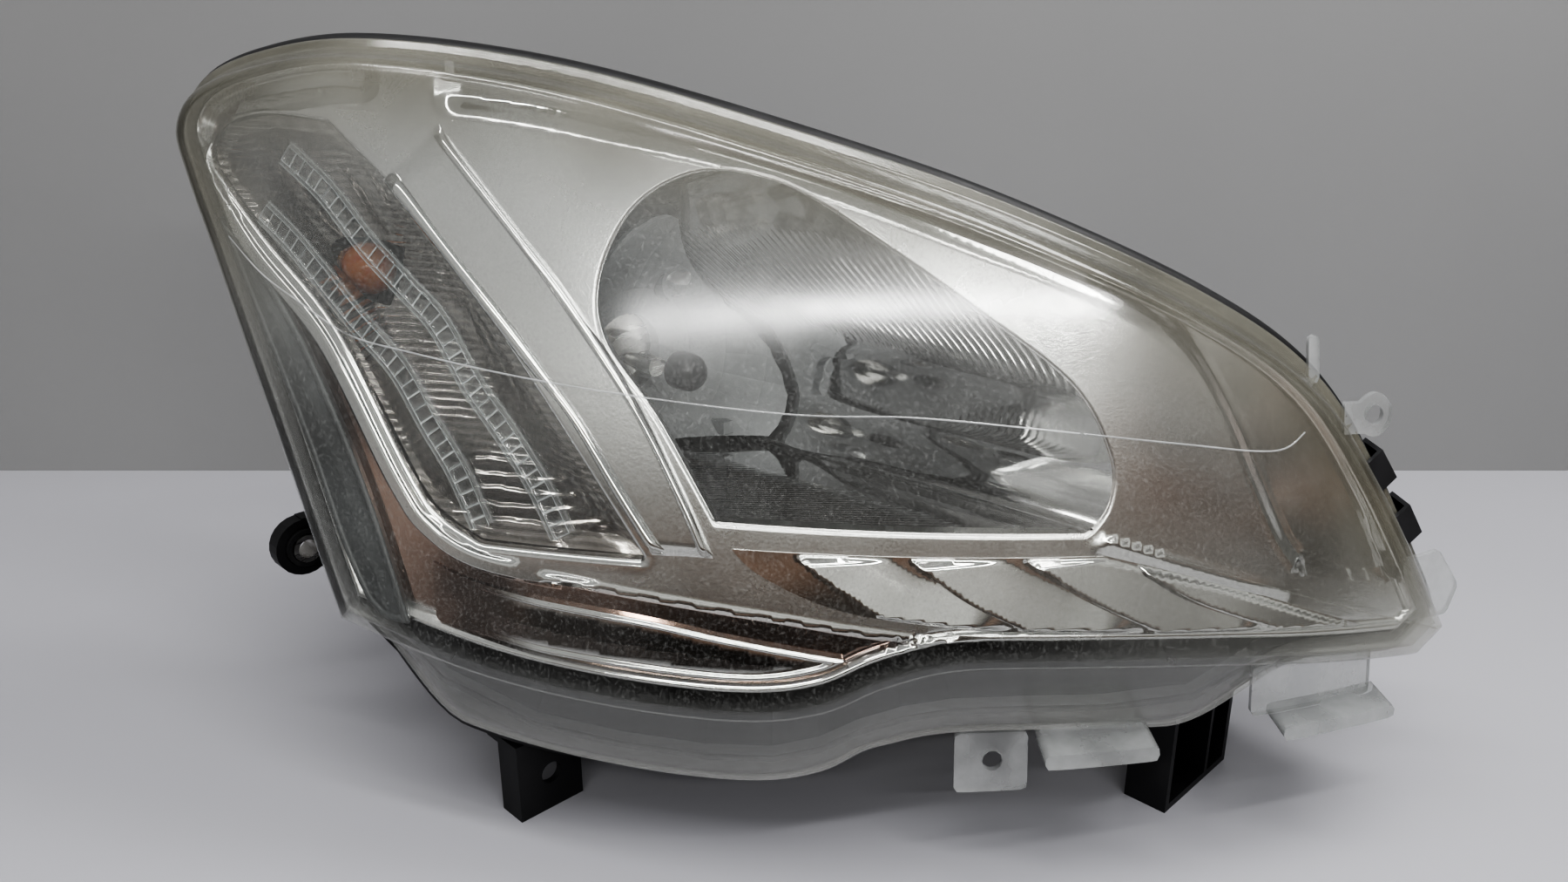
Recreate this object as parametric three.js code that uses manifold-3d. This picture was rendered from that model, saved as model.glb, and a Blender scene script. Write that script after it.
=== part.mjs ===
// A car headlight assembly for the right-hand front corner of a van.
//
// Units are millimetres. +Z is up, -Y is the vehicle's forward direction, and +X points from the
// wing towards the grille. The lamp stands on its three lower brackets on z = 0, and the origin is
// the centre of the bounding box's base.
//
// The lens wraps round the corner, so its own "face frame" is turned by SWEEP about Z: in it x runs
// along the lens from wing to grille, y runs into the lamp and z is up. Bulbs, reflectors,
// adjusters, brackets and the rear cover follow the vehicle's axes.

import * as THREE from "three";
import { mergeVertices } from "three/addons/utils/BufferGeometryUtils.js";
import Module from "manifold-3d";

const wasm = await Module();
wasm.setup();

// ---------------------------------------------------------------- driving dimensions

const GAP = 0.3; // between pieces that touch
const SWEEP = Math.PI / 4; // lens turned from the vehicle's lateral direction

const LENS_RADIUS = 570; // plan curvature of the lens
const LENS_CENTRE_X = 38; // where the lens stands furthest forward
const LENS_FRONT = 378; // its depth there
const RAKE_FROM = 90; // height above which the lens leans back
const RAKE = 0.22; // slope of the lean
const RAKE_CURVE = 0.00063; // and how fast the slope grows
const LENS_WALL = 2.8;
const SKIRT = 20; // how far the lens's side wall runs back
const LIP = 4; // width of the lens's sealing lip
const LIP_THICK = 2.6;
const CHIN = 26; // drop of the skirt under the lens

const SEAL_FRONT = SKIRT + LIP_THICK + GAP;
const SEAL_THICK = 2.4;
const FLANGE_FRONT = SEAL_FRONT + SEAL_THICK + GAP;
const FLANGE_THICK = 4;
const HOUSING_WALL = 3;

const BEZEL_DEPTH = 16; // bezel's front behind the lens's front
const BEZEL_WALL = 2.6;
const TRIM_DEPTH = 12; // trim pieces stand in front of the bezel
const SHEET_CELL = 30; // grid of the pieces that follow the lens's curve
const INNER_LENS_DEPTH = BEZEL_DEPTH + BEZEL_WALL + GAP;
const INNER_LENS_WALL = 2.2;

const BULB_X = 324; // headlamp bulb's axis, along Y
const BULB_Z = 170;
const BULB_SEAT = 431; // plane of the bulb's flange, and the reflector's vertex
const FOCAL = 25;
const REFLECTOR_WALL = 2.5;

const REAR_WALL = 455; // outside of the main rear wall
const NECK_R = 53;
const NECK_WALL = 3;
const COVER_R = 58;
const COVER_BACK = 508;

const BALL_Y = 439; // plane of the three aiming balls
const BALL_R = 4.5;
const PIVOT = [385, 232]; // fixed ball, X and Z
const LEVEL = [385, 108]; // levelling rod's ball, straight below it
const SIDEWAYS = [280, 232]; // sideways adjuster's ball, level with it

const SIGNAL_X = 238; // turn signal bulb's axis, along Y
const SIGNAL_Z = 212;
const SIGNAL_SEAT = 582; // rear face of the turn signal's neck
const DIVIDER_X = 255; // inner side of the turn signal's chamber

// ---------------------------------------------------------------- outlines, in the face frame

// Each stretch is a smooth curve through its points, cut into steps; corners lie between stretches.
const LENS_EDGE = [
  { steps: 26, through: [[-179, 89], [-201, 143], [-220, 184], [-240, 223], [-258, 254], [-266, 272],
    [-257, 287], [-230, 297], [-186, 303], [-124, 299], [-58, 287], [32, 262], [95, 240], [162, 210],
    [207, 180], [238, 139], [270, 83]] },
  { steps: 1, through: [[270, 83], [256, 74]] },
  { steps: 15, through: [[256, 74], [210, 79], [165, 84], [110, 88], [66, 89], [38, 83], [14, 73],
    [-16, 69], [-66, 71], [-120, 77], [-179, 89]] },
];
const SIGNAL_WINDOW = [
  { steps: 6, through: [[-190, 277], [-148, 244], [-120, 212], [-88, 171], [-53, 121]] },
  { steps: 2, through: [[-53, 121], [-120, 121]] },
  { steps: 8, through: [[-120, 121], [-138, 130], [-150, 144], [-184, 197], [-222, 230], [-250, 255]] },
  { steps: 4, through: [[-250, 255], [-253, 264], [-245, 274], [-222, 279], [-190, 277]] },
];
const MAIN_OPENING = [
  { steps: 22, through: [[-26, 137], [-48, 174], [-69, 202], [-70, 226], [-56, 250], [-31, 262],
    [0, 258], [32, 240], [73, 213], [109, 186], [124, 160], [124, 143], [116, 132]] },
  { steps: 3, through: [[116, 132], [-26, 137]] },
];
const OUTER_BLADE = [
  { steps: 5, through: [[-245, 236], [-218, 190], [-197, 150], [-182, 114], [-171, 93]] },
  { steps: 2, through: [[-171, 93], [-163, 87], [-151, 86]] },
  { steps: 6, through: [[-151, 86], [-170, 139], [-196, 187], [-222, 219], [-245, 236]] },
];
const LOWER_BLADE = [
  { steps: 6, through: [[-141, 112], [-119, 106], [-56, 100], [-23, 95], [24, 88]] },
  { steps: 6, through: [[24, 88], [12, 83], [-12, 79], [-50, 80], [-106, 84], [-140, 89]] },
  { steps: 2, through: [[-140, 89], [-141, 112]] },
];
const BAR_OUTER = [[-160, 258], [-140, 238], [-116, 213], [-96, 191], [-80, 173], [-62, 146], [-47, 124]];
const BAR_INNER = [[-140, 276], [-105, 239], [-83, 214], [-57, 179], [-40, 148], [-29, 124]];
const FLUTE_PANEL = [
  { steps: 4, through: [[-20, 128], [50, 126], [122, 124]] },
  { steps: 4, through: [[122, 124], [170, 110], [236, 84]] },
  { steps: 5, through: [[236, 84], [187, 89], [118, 95], [66, 99]] },
  { steps: 4, through: [[66, 99], [22, 106], [-8, 118], [-20, 128]] },
];
const STRIP_OUTER = [[-222, 240], [-203, 227], [-176, 203], [-155, 185], [-141, 165], [-129, 148], [-119, 128]];
const STRIP_INNER = [[-211, 264], [-190, 250], [-169, 230], [-152, 216], [-137, 203], [-123, 182],
  [-109, 165], [-96, 147], [-86, 128]];

// ---------------------------------------------------------------- shape helpers

const smoothstep = (from, to, value) => THREE.MathUtils.smoothstep(value, from, to);

/** Depth of the lens's outer surface in the face frame. */
function lensDepth(x, z) {
  const across = x - LENS_CENTRE_X;
  const wrap = LENS_RADIUS - Math.sqrt(LENS_RADIUS ** 2 - across ** 2);
  const above = z - RAKE_FROM;
  return LENS_FRONT + wrap + RAKE * above + RAKE_CURVE * Math.max(above, 0) ** 2;
}

/** A closed loop of 2-D points from stretches; the last point of each stretch opens the next. */
function loop(stretches) {
  return stretches.flatMap(({ steps, through }) => {
    const curve = new THREE.SplineCurve(through.map(([x, z]) => new THREE.Vector2(x, z)));
    return curve.getPoints(steps).slice(0, -1);
  });
}

const loopArea = (points) => THREE.ShapeUtils.area(points);

/** Outward normal of a loop at each point. */
function loopNormals(points) {
  const turn = loopArea(points) > 0 ? 1 : -1;
  return points.map((_, i) => {
    const before = points.at(i - 1);
    const after = points[(i + 1) % points.length];
    const along = after.clone().sub(before).normalize().multiplyScalar(turn);
    return new THREE.Vector2(along.y, -along.x);
  });
}

/** The loop moved outwards by a distance. */
function grown(points, distance) {
  const normals = loopNormals(points);
  return points.map((p, i) => p.clone().addScaledVector(normals[i], distance));
}

/** The loop scaled about a point. */
const scaled = (points, centre, factor) => points.map((p) => p.clone().sub(centre).multiplyScalar(factor).add(centre));

/** A band of even width round an open line of points. */
function band(line, width) {
  const curve = new THREE.SplineCurve(line.map(([x, z]) => new THREE.Vector2(x, z)));
  const steps = line.length + 2;
  const side = (sign) => curve.getPoints(steps).map((p, i) => {
    const t = curve.getTangent(i / steps);
    return new THREE.Vector2(p.x - sign * t.y * width / 2, p.y + sign * t.x * width / 2);
  });
  return [...side(1), ...side(-1).reverse()];
}

/** Puts a face-frame loop on the lens's surface, a depth behind it. */
const ringOnFace = (points, depth) => points.map((p) => new THREE.Vector3(p.x, lensDepth(p.x, p.y) + depth, p.y));

/** A closed solid through rings of equal count, with flat ends, or joined end to start. */
function loft(rings, { ringShaped = false } = {}) {
  const count = rings[0].length;
  const vertices = rings.flat();
  const faces = [];
  const last = ringShaped ? rings.length : rings.length - 1;
  for (let r = 0; r < last; r++) {
    const next = (r + 1) % rings.length;
    for (let i = 0; i < count; i++) {
      const j = (i + 1) % count;
      faces.push([r * count + i, r * count + j, next * count + i]);
      faces.push([r * count + j, next * count + j, next * count + i]);
    }
  }
  if (!ringShaped) {
    for (const [ring, flip] of [[0, true], [rings.length - 1, false]]) {
      const middle = rings[ring].reduce((sum, p) => sum.add(p), new THREE.Vector3()).divideScalar(count);
      const centre = vertices.push(middle) - 1;
      for (let i = 0; i < count; i++) {
        const a = ring * count + i;
        const b = ring * count + ((i + 1) % count);
        faces.push(flip ? [b, a, centre] : [a, b, centre]);
      }
    }
  }
  return solidFromFaces(vertices, faces);
}

/** A manifold solid from vertices and triangles, turned inside out where its volume is negative. */
function solidFromFaces(vertices, faces) {
  const signed = faces.reduce((sum, [a, b, c]) => sum + vertices[a].dot(vertices[b].clone().cross(vertices[c])), 0);
  const triangles = signed < 0 ? faces.map(([a, b, c]) => [a, c, b]) : faces;
  return new wasm.Manifold(new wasm.Mesh({
    numProp: 3,
    vertProperties: new Float32Array(vertices.flatMap((p) => p.toArray())),
    triVerts: new Uint32Array(triangles.flat()),
  }));
}

/** A manifold solid from a closed three.js geometry. */
function solid(geometry) {
  const bare = geometry.index ? geometry.toNonIndexed() : geometry.clone();
  for (const name of Object.keys(bare.attributes)) {
    if (name !== "position") bare.deleteAttribute(name);
  }
  const merged = mergeVertices(bare, 1e-3);
  const position = merged.getAttribute("position");
  const vertices = Array.from({ length: position.count }, (_, i) => new THREE.Vector3().fromBufferAttribute(position, i));
  const index = merged.index.array;
  const faces = [];
  for (let i = 0; i < index.length; i += 3) {
    const [a, b, c] = [index[i], index[i + 1], index[i + 2]];
    if (a !== b && b !== c && a !== c) faces.push([a, b, c]);
  }
  return solidFromFaces(vertices, faces);
}

/** Turns a solid about Z, from the face frame to the vehicle's (or back with a negative sign). */
const turned = (shape, sign = 1) => shape.rotate([0, 0, (-sign * SWEEP * 180) / Math.PI]);

/** A point of the vehicle's frame, in the face frame. */
function toFace(x, y, z) {
  return new THREE.Vector3(x, y, z).applyAxisAngle(new THREE.Vector3(0, 0, 1), SWEEP);
}

/** A solid cut by an upright prism standing on a loop of plan points. */
function uprightPrism(points, low, high) {
  const shape = new THREE.Shape(points.map(([x, y]) => new THREE.Vector2(x, y)));
  return solid(new THREE.ExtrudeGeometry(shape, { depth: high - low, bevelEnabled: false })).translate([0, 0, low]);
}

/** A prism along Y standing on a loop of (x, z) points. */
function depthPrism(points, near, far) {
  const shape = new THREE.Shape(points.map((p) => new THREE.Vector2(p.x, p.y)));
  const geometry = new THREE.ExtrudeGeometry(shape, { depth: far - near, bevelEnabled: false });
  return solid(geometry.rotateX(Math.PI / 2).translate(0, far, 0));
}

/** A sheet that follows the lens's curve between two depths, cut to an outline. Sheets share one grid. */
function faceSheet(outline, front, back, cell = SHEET_CELL) {
  const box = new THREE.Box2().setFromPoints(outline).expandByScalar(0.5);
  box.min.divideScalar(cell).floor().multiplyScalar(cell);
  box.max.divideScalar(cell).ceil().multiplyScalar(cell);
  const size = box.getSize(new THREE.Vector2());
  const middle = box.getCenter(new THREE.Vector2());
  const across = Math.round(size.x / cell);
  const up = Math.round(size.y / cell);
  const slab = new THREE.BoxGeometry(size.x, 1, size.y, across, 1, up).translate(middle.x, 0, middle.y);
  const position = slab.getAttribute("position");
  for (let i = 0; i < position.count; i++) {
    const depth = lensDepth(position.getX(i), position.getZ(i));
    position.setY(i, depth + (position.getY(i) < 0 ? front : back));
  }
  return solid(slab).intersect(depthPrism(outline, 300, 700));
}

const cylinder = (radius, from, to, x, z, sides = 24) => solid(
  new THREE.CylinderGeometry(radius, radius, to - from, sides).translate(x, (from + to) / 2, z));
const tubeAlongY = (outer, inner, from, to, x, z, sides = 24) => cylinder(outer, from, to, x, z, sides)
  .subtract(cylinder(inner, from - 1, to + 1, x, z, sides));
const uprightCylinder = (radius, low, high, x, y, sides = 16) => solid(
  new THREE.CylinderGeometry(radius, radius, high - low, sides).rotateX(Math.PI / 2).translate(x, y, (low + high) / 2));
const ball = (radius, x, y, z) => solid(new THREE.SphereGeometry(radius, 16, 10).translate(x, y, z));
const block = ([x0, x1], [y0, y1], [z0, z1]) => solid(new THREE.BoxGeometry(x1 - x0, y1 - y0, z1 - z0)
  .translate((x0 + x1) / 2, (y0 + y1) / 2, (z0 + z1) / 2));
const joined = (...shapes) => shapes.reduce((sum, shape) => sum.add(shape));
const cut = (shape, ...tools) => tools.reduce((rest, tool) => rest.subtract(tool), shape);
const lathe = (profile, x, z, sides = 32) => solid(
  new THREE.LatheGeometry(profile.map(([r, y]) => new THREE.Vector2(r, y)), sides).translate(x, 0, z));

/** A round wire along a smooth path. */
function wire(points, radius, steps, sides = 8) {
  const path = new THREE.CatmullRomCurve3(points.map((p) => new THREE.Vector3(...p)));
  const section = new THREE.Shape(Array.from({ length: sides }, (_, i) => {
    const angle = (i / sides) * 2 * Math.PI;
    return new THREE.Vector2(radius * Math.cos(angle), radius * Math.sin(angle));
  }));
  return solid(new THREE.ExtrudeGeometry(section, { steps, bevelEnabled: false, extrudePath: path }));
}

// ---------------------------------------------------------------- the scene graph

const MATERIALS = {
  clear: new THREE.MeshStandardMaterial({ color: 0xd8dbd0, roughness: 0.12, transparent: true, opacity: 0.35 }),
  chrome: new THREE.MeshStandardMaterial({ color: 0xc9ccce, roughness: 0.08, metalness: 1 }),
  charcoal: new THREE.MeshStandardMaterial({ color: 0x2b2d2e, roughness: 0.45 }),
  housing: new THREE.MeshStandardMaterial({ color: 0x161617, roughness: 0.55 }),
  plastic: new THREE.MeshStandardMaterial({ color: 0x2a2c30, roughness: 0.5 }),
  grey: new THREE.MeshStandardMaterial({ color: 0x8d9094, roughness: 0.5 }),
  rubber: new THREE.MeshStandardMaterial({ color: 0x121212, roughness: 0.85 }),
  steel: new THREE.MeshStandardMaterial({ color: 0xa7a9ab, roughness: 0.3, metalness: 1 }),
  brass: new THREE.MeshStandardMaterial({ color: 0xb59a57, roughness: 0.35, metalness: 1 }),
  glass: new THREE.MeshStandardMaterial({ color: 0xe4e8ea, roughness: 0.05, transparent: true, opacity: 0.35 }),
  amber: new THREE.MeshStandardMaterial({ color: 0xe07a1a, roughness: 0.08, transparent: true, opacity: 0.6 }),
};

const lamp = new THREE.Group();
const face = new THREE.Group(); // holds the pieces modelled in the face frame
face.rotation.z = -SWEEP;
lamp.add(face);

/** Adds a named solid to a group as a mesh. */
function addPiece(group, name, shape, material) {
  const { numProp, vertProperties, triVerts } = shape.getMesh();
  const count = vertProperties.length / numProp;
  const positions = new Float32Array(count * 3);
  for (let i = 0; i < count; i++) positions.set(vertProperties.subarray(i * numProp, i * numProp + 3), i * 3);
  const geometry = new THREE.BufferGeometry()
    .setAttribute("position", new THREE.BufferAttribute(positions, 3))
    .setIndex(new THREE.BufferAttribute(triVerts, 1));
  geometry.computeVertexNormals();
  const mesh = new THREE.Mesh(geometry, MATERIALS[material]);
  mesh.name = name;
  group.add(mesh);
  return mesh;
}

// ---------------------------------------------------------------- lens, seal and housing

const lensEdge = loop(LENS_EDGE);
const lensNormals = loopNormals(lensEdge);
const lensMiddle = new THREE.Vector2(-10, 185);

/** End of the lens's skirt: a little wider than the lens, and lower under its chin. */
const skirtEdge = lensEdge.map((p, i) => {
  const under = Math.max(0, -lensNormals[i].y);
  const drop = CHIN * smoothstep(-172, -128, p.x) * (1 - smoothstep(150, 215, p.x)) * under;
  return p.clone().addScaledVector(lensNormals[i], 2.5).add(new THREE.Vector2(0, -drop));
});

function lensCover() {
  const inner = grown(lensEdge, -LENS_WALL);
  const innerSkirt = grown(skirtEdge, -LENS_WALL);
  const lip = grown(skirtEdge, LIP);
  const shell = loft([
    ...[0.3, 0.65, 0.9].map((f) => ringOnFace(scaled(lensEdge, lensMiddle, f), 0)),
    ringOnFace(lensEdge, 0),
    ringOnFace(skirtEdge, SKIRT),
    ringOnFace(lip, SKIRT),
    ringOnFace(lip, SKIRT + LIP_THICK),
    ringOnFace(innerSkirt, SKIRT + LIP_THICK),
    ringOnFace(inner, LENS_WALL),
    ...[0.9, 0.65, 0.3].map((f) => ringOnFace(scaled(inner, lensMiddle, f), LENS_WALL)),
  ]);
  return joined(shell, ...lensTabs());
}

/** A rectangle in the face frame, as a loop. */
const rect = (x0, x1, z0, z1) => [[x0, z0], [x1, z0], [x1, z1], [x0, z1]].map(([x, z]) => new THREE.Vector2(x, z));

/** A disc in the face frame, as a loop. */
const disc = (radius, x, z) => new THREE.EllipseCurve(x, z, radius, radius).getPoints(16).slice(0, -1);

/** Clear tabs moulded on the lens's rim, used to line it up with the bumper and the wing. */
function lensTabs() {
  const tab = (outline, front = SKIRT) => faceSheet(outline, front, SKIRT + LIP_THICK, 15);
  const fin = [[258, 104], [278, 105], [290, 88], [284, 77], [262, 78]].map(([x, z]) => new THREE.Vector2(x, z));
  return [
    tab(rect(98, 143, 51, 57), 2), tab(rect(196, 248, 50, 55.5), 4), tab(rect(188, 244, 52, 76)),
    cut(tab(rect(66, 95, 33, 62)), cylinder(4, 370, 420, 81, 45, 16)),
    tab(fin), tab(rect(209, 214, 178, 198)),
    cut(joined(tab(disc(8.5, 241, 165)), tab(rect(222, 241, 159, 171))), cylinder(4.1, 430, 480, 241, 165, 16)),
  ];
}

function lensSeal() {
  const outer = grown(skirtEdge, 2.6);
  const inner = grown(skirtEdge, -1.6);
  return loft([
    ringOnFace(outer, SEAL_FRONT),
    ringOnFace(outer, SEAL_FRONT + SEAL_THICK),
    ringOnFace(inner, SEAL_FRONT + SEAL_THICK),
    ringOnFace(inner, SEAL_FRONT),
  ], { ringShaped: true });
}

/** Plan of the housing's back, in the vehicle's frame: main lobe, turn signal lobe, shallow grille end. */
function housingPlan(inset) {
  const right = 412 - inset;
  const back = REAR_WALL - inset;
  const step = DIVIDER_X + 6 - inset;
  return [
    [517 - inset, 40], [517 - inset, 196 - inset], [496 - inset, 226 - inset], [right, 338 - inset], [right, back],
    [step, back], [step, 540 - inset], [250 - inset, 557 - inset], [214 - inset / 2, 580 - inset],
    [200, 592 - inset], [100, 592 - inset], [100, 40],
  ];
}

/** The housing's bulk: the skirt's outline drawn back and tapered, then cut to the plan. */
function housingBulk(inset, front) {
  const outline = grown(skirtEdge, -inset);
  const taper = new THREE.Vector2(-30, 172);
  const rear = outline.map((p) => new THREE.Vector3(
    taper.x + (p.x - taper.x) * 0.93, 650, taper.y + (p.y - taper.y) * 0.88));
  const bulk = loft([ringOnFace(outline, front), rear]);
  return turned(bulk).intersect(uprightPrism(housingPlan(inset), -50, 400));
}

function housingShell() {
  const [rim, throat] = [grown(skirtEdge, 5), grown(skirtEdge, -1.5)];
  const flange = turned(loft([
    ringOnFace(rim, FLANGE_FRONT), ringOnFace(rim, FLANGE_FRONT + FLANGE_THICK),
    ringOnFace(throat, FLANGE_FRONT + FLANGE_THICK), ringOnFace(throat, FLANGE_FRONT),
  ], { ringShaped: true }));
  const neck = cylinder(NECK_R, REAR_WALL - 5, REAR_WALL + 19, BULB_X, BULB_Z, 28);
  const neckHole = cylinder(NECK_R - NECK_WALL, REAR_WALL - 30, REAR_WALL + 30, BULB_X, BULB_Z, 28);
  const signalNeck = cylinder(19, 545, SIGNAL_SEAT, SIGNAL_X, SIGNAL_Z);
  const signalHole = cylinder(16, 520, SIGNAL_SEAT + 10, SIGNAL_X, SIGNAL_Z);
  const outside = joined(housingBulk(0, FLANGE_FRONT + 1.4), flange, neck, signalNeck, sideEar(), ...bracketPads());
  const through = (radius, [x, z]) => cylinder(radius, REAR_WALL - 12, REAR_WALL + 12, x, z, 16);
  return cut(outside, housingBulk(HOUSING_WALL, FLANGE_FRONT - 30), neckHole, signalHole,
    through(12.4, LEVEL), through(3.7, SIDEWAYS), through(3.4, PIVOT), through(11, CONNECTOR),
    cylinder(9.3, EAR.y[0] - 5, EAR.y[1] + 5, EAR.x, EAR.z, 24),
    ...VENTS.map((at) => through(4.3, at)),
    ...BRACKET_SCREWS.map(([x, y, z]) => uprightCylinder(2.6, z - 5, z + 9, x, y, 12)));
}

const CONNECTOR = [324, 254]; // bulkhead connector, X and Z
const VENTS = [[290, 98], [360, 257]]; // breathers, X and Z

// ---------------------------------------------------------------- brackets under the housing

const BOX_TOP = 56;
const OUTER_TOP = 36;
const LEG_TOP = 42;
const PLATE = 3.2;
const BOX = { x: [409, 464], y: [181, 200] };
const OUTER = { x: [213, 244], y: [368, 390] };
const LEG = { x: [314, 372], y: [420, 442] };

// Screws that hold the brackets, at the underside of the housing's pads.
const BRACKET_SCREWS = [
  [421, 191, BOX_TOP], [454, 191, BOX_TOP], [225, 382, OUTER_TOP], [237, 382, OUTER_TOP],
  [328, 431, LEG_TOP], [358, 431, LEG_TOP],
];

function bracketPads() {
  return [
    block(BOX.x, BOX.y, [BOX_TOP + GAP, 84]),
    block([219, OUTER.x[1]], [376, OUTER.y[1]], [OUTER_TOP + GAP, 66]),
    block(LEG.x, LEG.y, [LEG_TOP + GAP, 66]),
  ];
}

const screwHoles = (top) => BRACKET_SCREWS.filter((s) => s[2] === top)
  .map(([x, y, z]) => uprightCylinder(2.6, z - PLATE - 1, z + 1, x, y, 12));

/** A box open to the front, with one rib, like the locating bracket at the grille end. */
function openBox({ x, y }, top, rib) {
  const hollow = (from, to) => block([from, to], [y[0] - 5, y[1] - PLATE], [PLATE, top - PLATE]);
  return cut(block(x, y, [0, top]), hollow(x[0] + PLATE, rib - 1.3), hollow(rib + 1.3, x[1] - PLATE), ...screwHoles(top));
}

/** An angle bracket whose front plate has the fixing hole. */
function outerBracket() {
  const { x, y } = OUTER;
  const front = block(x, [y[0], y[0] + PLATE], [0, OUTER_TOP]);
  const side = block([x[0], x[0] + PLATE], [y[0], y[0] + 14], [0, OUTER_TOP]);
  const top = block(x, y, [OUTER_TOP - PLATE, OUTER_TOP]);
  const hole = cylinder(4.8, y[0] - 5, y[0] + 8, 229, 17, 24);
  return cut(joined(front, side, top), hole, ...screwHoles(OUTER_TOP));
}

function bracketScrew([x, y, z]) {
  const under = z - PLATE - GAP;
  return joined(uprightCylinder(2.2, under - 1, z + 8, x, y, 10), uprightCylinder(4.6, under - 3, under, x, y, 12));
}

// The ear at the wing end, with its rubber grommet and steel sleeve.
const EAR = { x: 194, z: 88, y: [506, 514] };

/** The ear's boss and the arm that joins it to the housing's lobe. */
const sideEar = () => joined(cylinder(13.5, ...EAR.y, EAR.x, EAR.z, 24), block([EAR.x, 259], EAR.y, [EAR.z - 10, EAR.z + 14]));

// ---------------------------------------------------------------- bezel and trim

const mainOpening = loop(MAIN_OPENING);
const signalWindow = loop(SIGNAL_WINDOW);

/** A ring of the main opening's outline drawn back to a plane of constant vehicle depth. */
function tunnelRing(margin, depth) {
  const low = new THREE.Vector2(259 - margin, 122 - margin);
  const high = new THREE.Vector2(392 + margin, 246 + margin);
  const outline = openingFromFront();
  const box = new THREE.Box2().setFromPoints(outline);
  const size = box.getSize(new THREE.Vector2());
  return outline.map((p) => toFace(
    low.x + ((p.x - box.min.x) / size.x) * (high.x - low.x), depth,
    low.y + ((p.y - box.min.y) / size.y) * (high.y - low.y)));
}

/** The main opening as seen along the vehicle's axis. */
function openingFromFront() {
  return ringOnFace(mainOpening, BEZEL_DEPTH).map((p) => {
    const seen = p.clone().applyAxisAngle(new THREE.Vector3(0, 0, 1), -SWEEP);
    return new THREE.Vector2(seen.x, seen.z);
  });
}

const TUNNEL_END = 411;

/** The chromed bezel: a sheet behind the lens with a tunnel that runs back round the reflector. */
function bezelFrame() {
  const front = BEZEL_DEPTH;
  const back = BEZEL_DEPTH + BEZEL_WALL;
  const sheet = faceSheet(grown(lensEdge, -3.5), front, back);
  const tunnel = loft([
    ringOnFace(grown(mainOpening, BEZEL_WALL), front + 0.6), tunnelRing(BEZEL_WALL, TUNNEL_END),
    tunnelRing(0, TUNNEL_END), ringOnFace(mainOpening, front + 0.6),
  ], { ringShaped: true });
  return joined(cut(sheet, depthPrism(mainOpening, 300, 700), depthPrism(signalWindow, 300, 700)), tunnel);
}

const trim = (outline) => faceSheet(outline, TRIM_DEPTH, BEZEL_DEPTH - GAP);

function twinBars() {
  const between = [...BAR_OUTER, ...[...BAR_INNER].reverse()].map(([x, z]) => new THREE.Vector2(x, z));
  const web = faceSheet(between, TRIM_DEPTH + 1.6, BEZEL_DEPTH - GAP);
  const ridge = (line, width) => faceSheet(band(line, width), TRIM_DEPTH, BEZEL_DEPTH - GAP);
  return joined(web, ridge(BAR_OUTER, 7), ridge(BAR_INNER, 5));
}

/** The turn signal's chrome trough, with a straight inner side that follows the vehicle's axis. */
function signalReflector() {
  const middle = new THREE.Vector2(-175, 212);
  const bowl = (inset, near, far, side) => {
    const mouth = grown(signalWindow, -inset);
    const shape = loft([ringOnFace(mouth, near), ringOnFace(scaled(mouth, middle, 0.78), far)]);
    return turned(shape).intersect(block([100, side], [200, 700], [0, 400]));
  };
  const front = INNER_LENS_DEPTH + INNER_LENS_WALL + 3 * GAP;
  return cut(bowl(0.5, front, 57, DIVIDER_X), bowl(2.5, front - 10, 55, DIVIDER_X - 2),
    cylinder(13.6, 480, 600, SIGNAL_X, SIGNAL_Z));
}

const innerLens = () => faceSheet(grown(signalWindow, 2.4), INNER_LENS_DEPTH, INNER_LENS_DEPTH + INNER_LENS_WALL);
const ribbedStrip = (line) => faceSheet(band(line, 11), BEZEL_DEPTH - 1.5, INNER_LENS_DEPTH - GAP);

// ---------------------------------------------------------------- main reflector and its bulb

/** The reflector: a paraboloid trimmed to the tunnel's outline, with a carrier for three sockets. */
function mainReflector() {
  const radii = [19, 32, 46, 60, 73, 86];
  const bowlAt = (r, back) => [r, BULB_SEAT - r ** 2 / (4 * FOCAL) + back];
  const profile = [...radii.map((r) => bowlAt(r, 0)), ...[...radii].reverse().map((r) => bowlAt(r, REFLECTOR_WALL + 0.5))];
  const bowl = lathe([...profile, profile[0]], BULB_X, BULB_Z, 30);
  const rim = tunnelRing(-5, 0).map((p) => {
    const seen = p.applyAxisAngle(new THREE.Vector3(0, 0, 1), -SWEEP);
    return new THREE.Vector2(seen.x, seen.z);
  });
  const trimmed = bowl.intersect(depthPrism(rim, 380, 450));
  return cut(joined(trimmed, ...reflectorCarrier()),
    ...[PIVOT, LEVEL, SIDEWAYS].map(([x, z]) => cylinder(9, 425, 450, x, z)),
    cylinder(19, 400, 450, BULB_X, BULB_Z, 24),
    cylinder(6.8, 380, 450, ...SIDELIGHT, 20));
}

const SIDELIGHT = [344.5, 202.5]; // capless bulb's axis, X and Z

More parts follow.
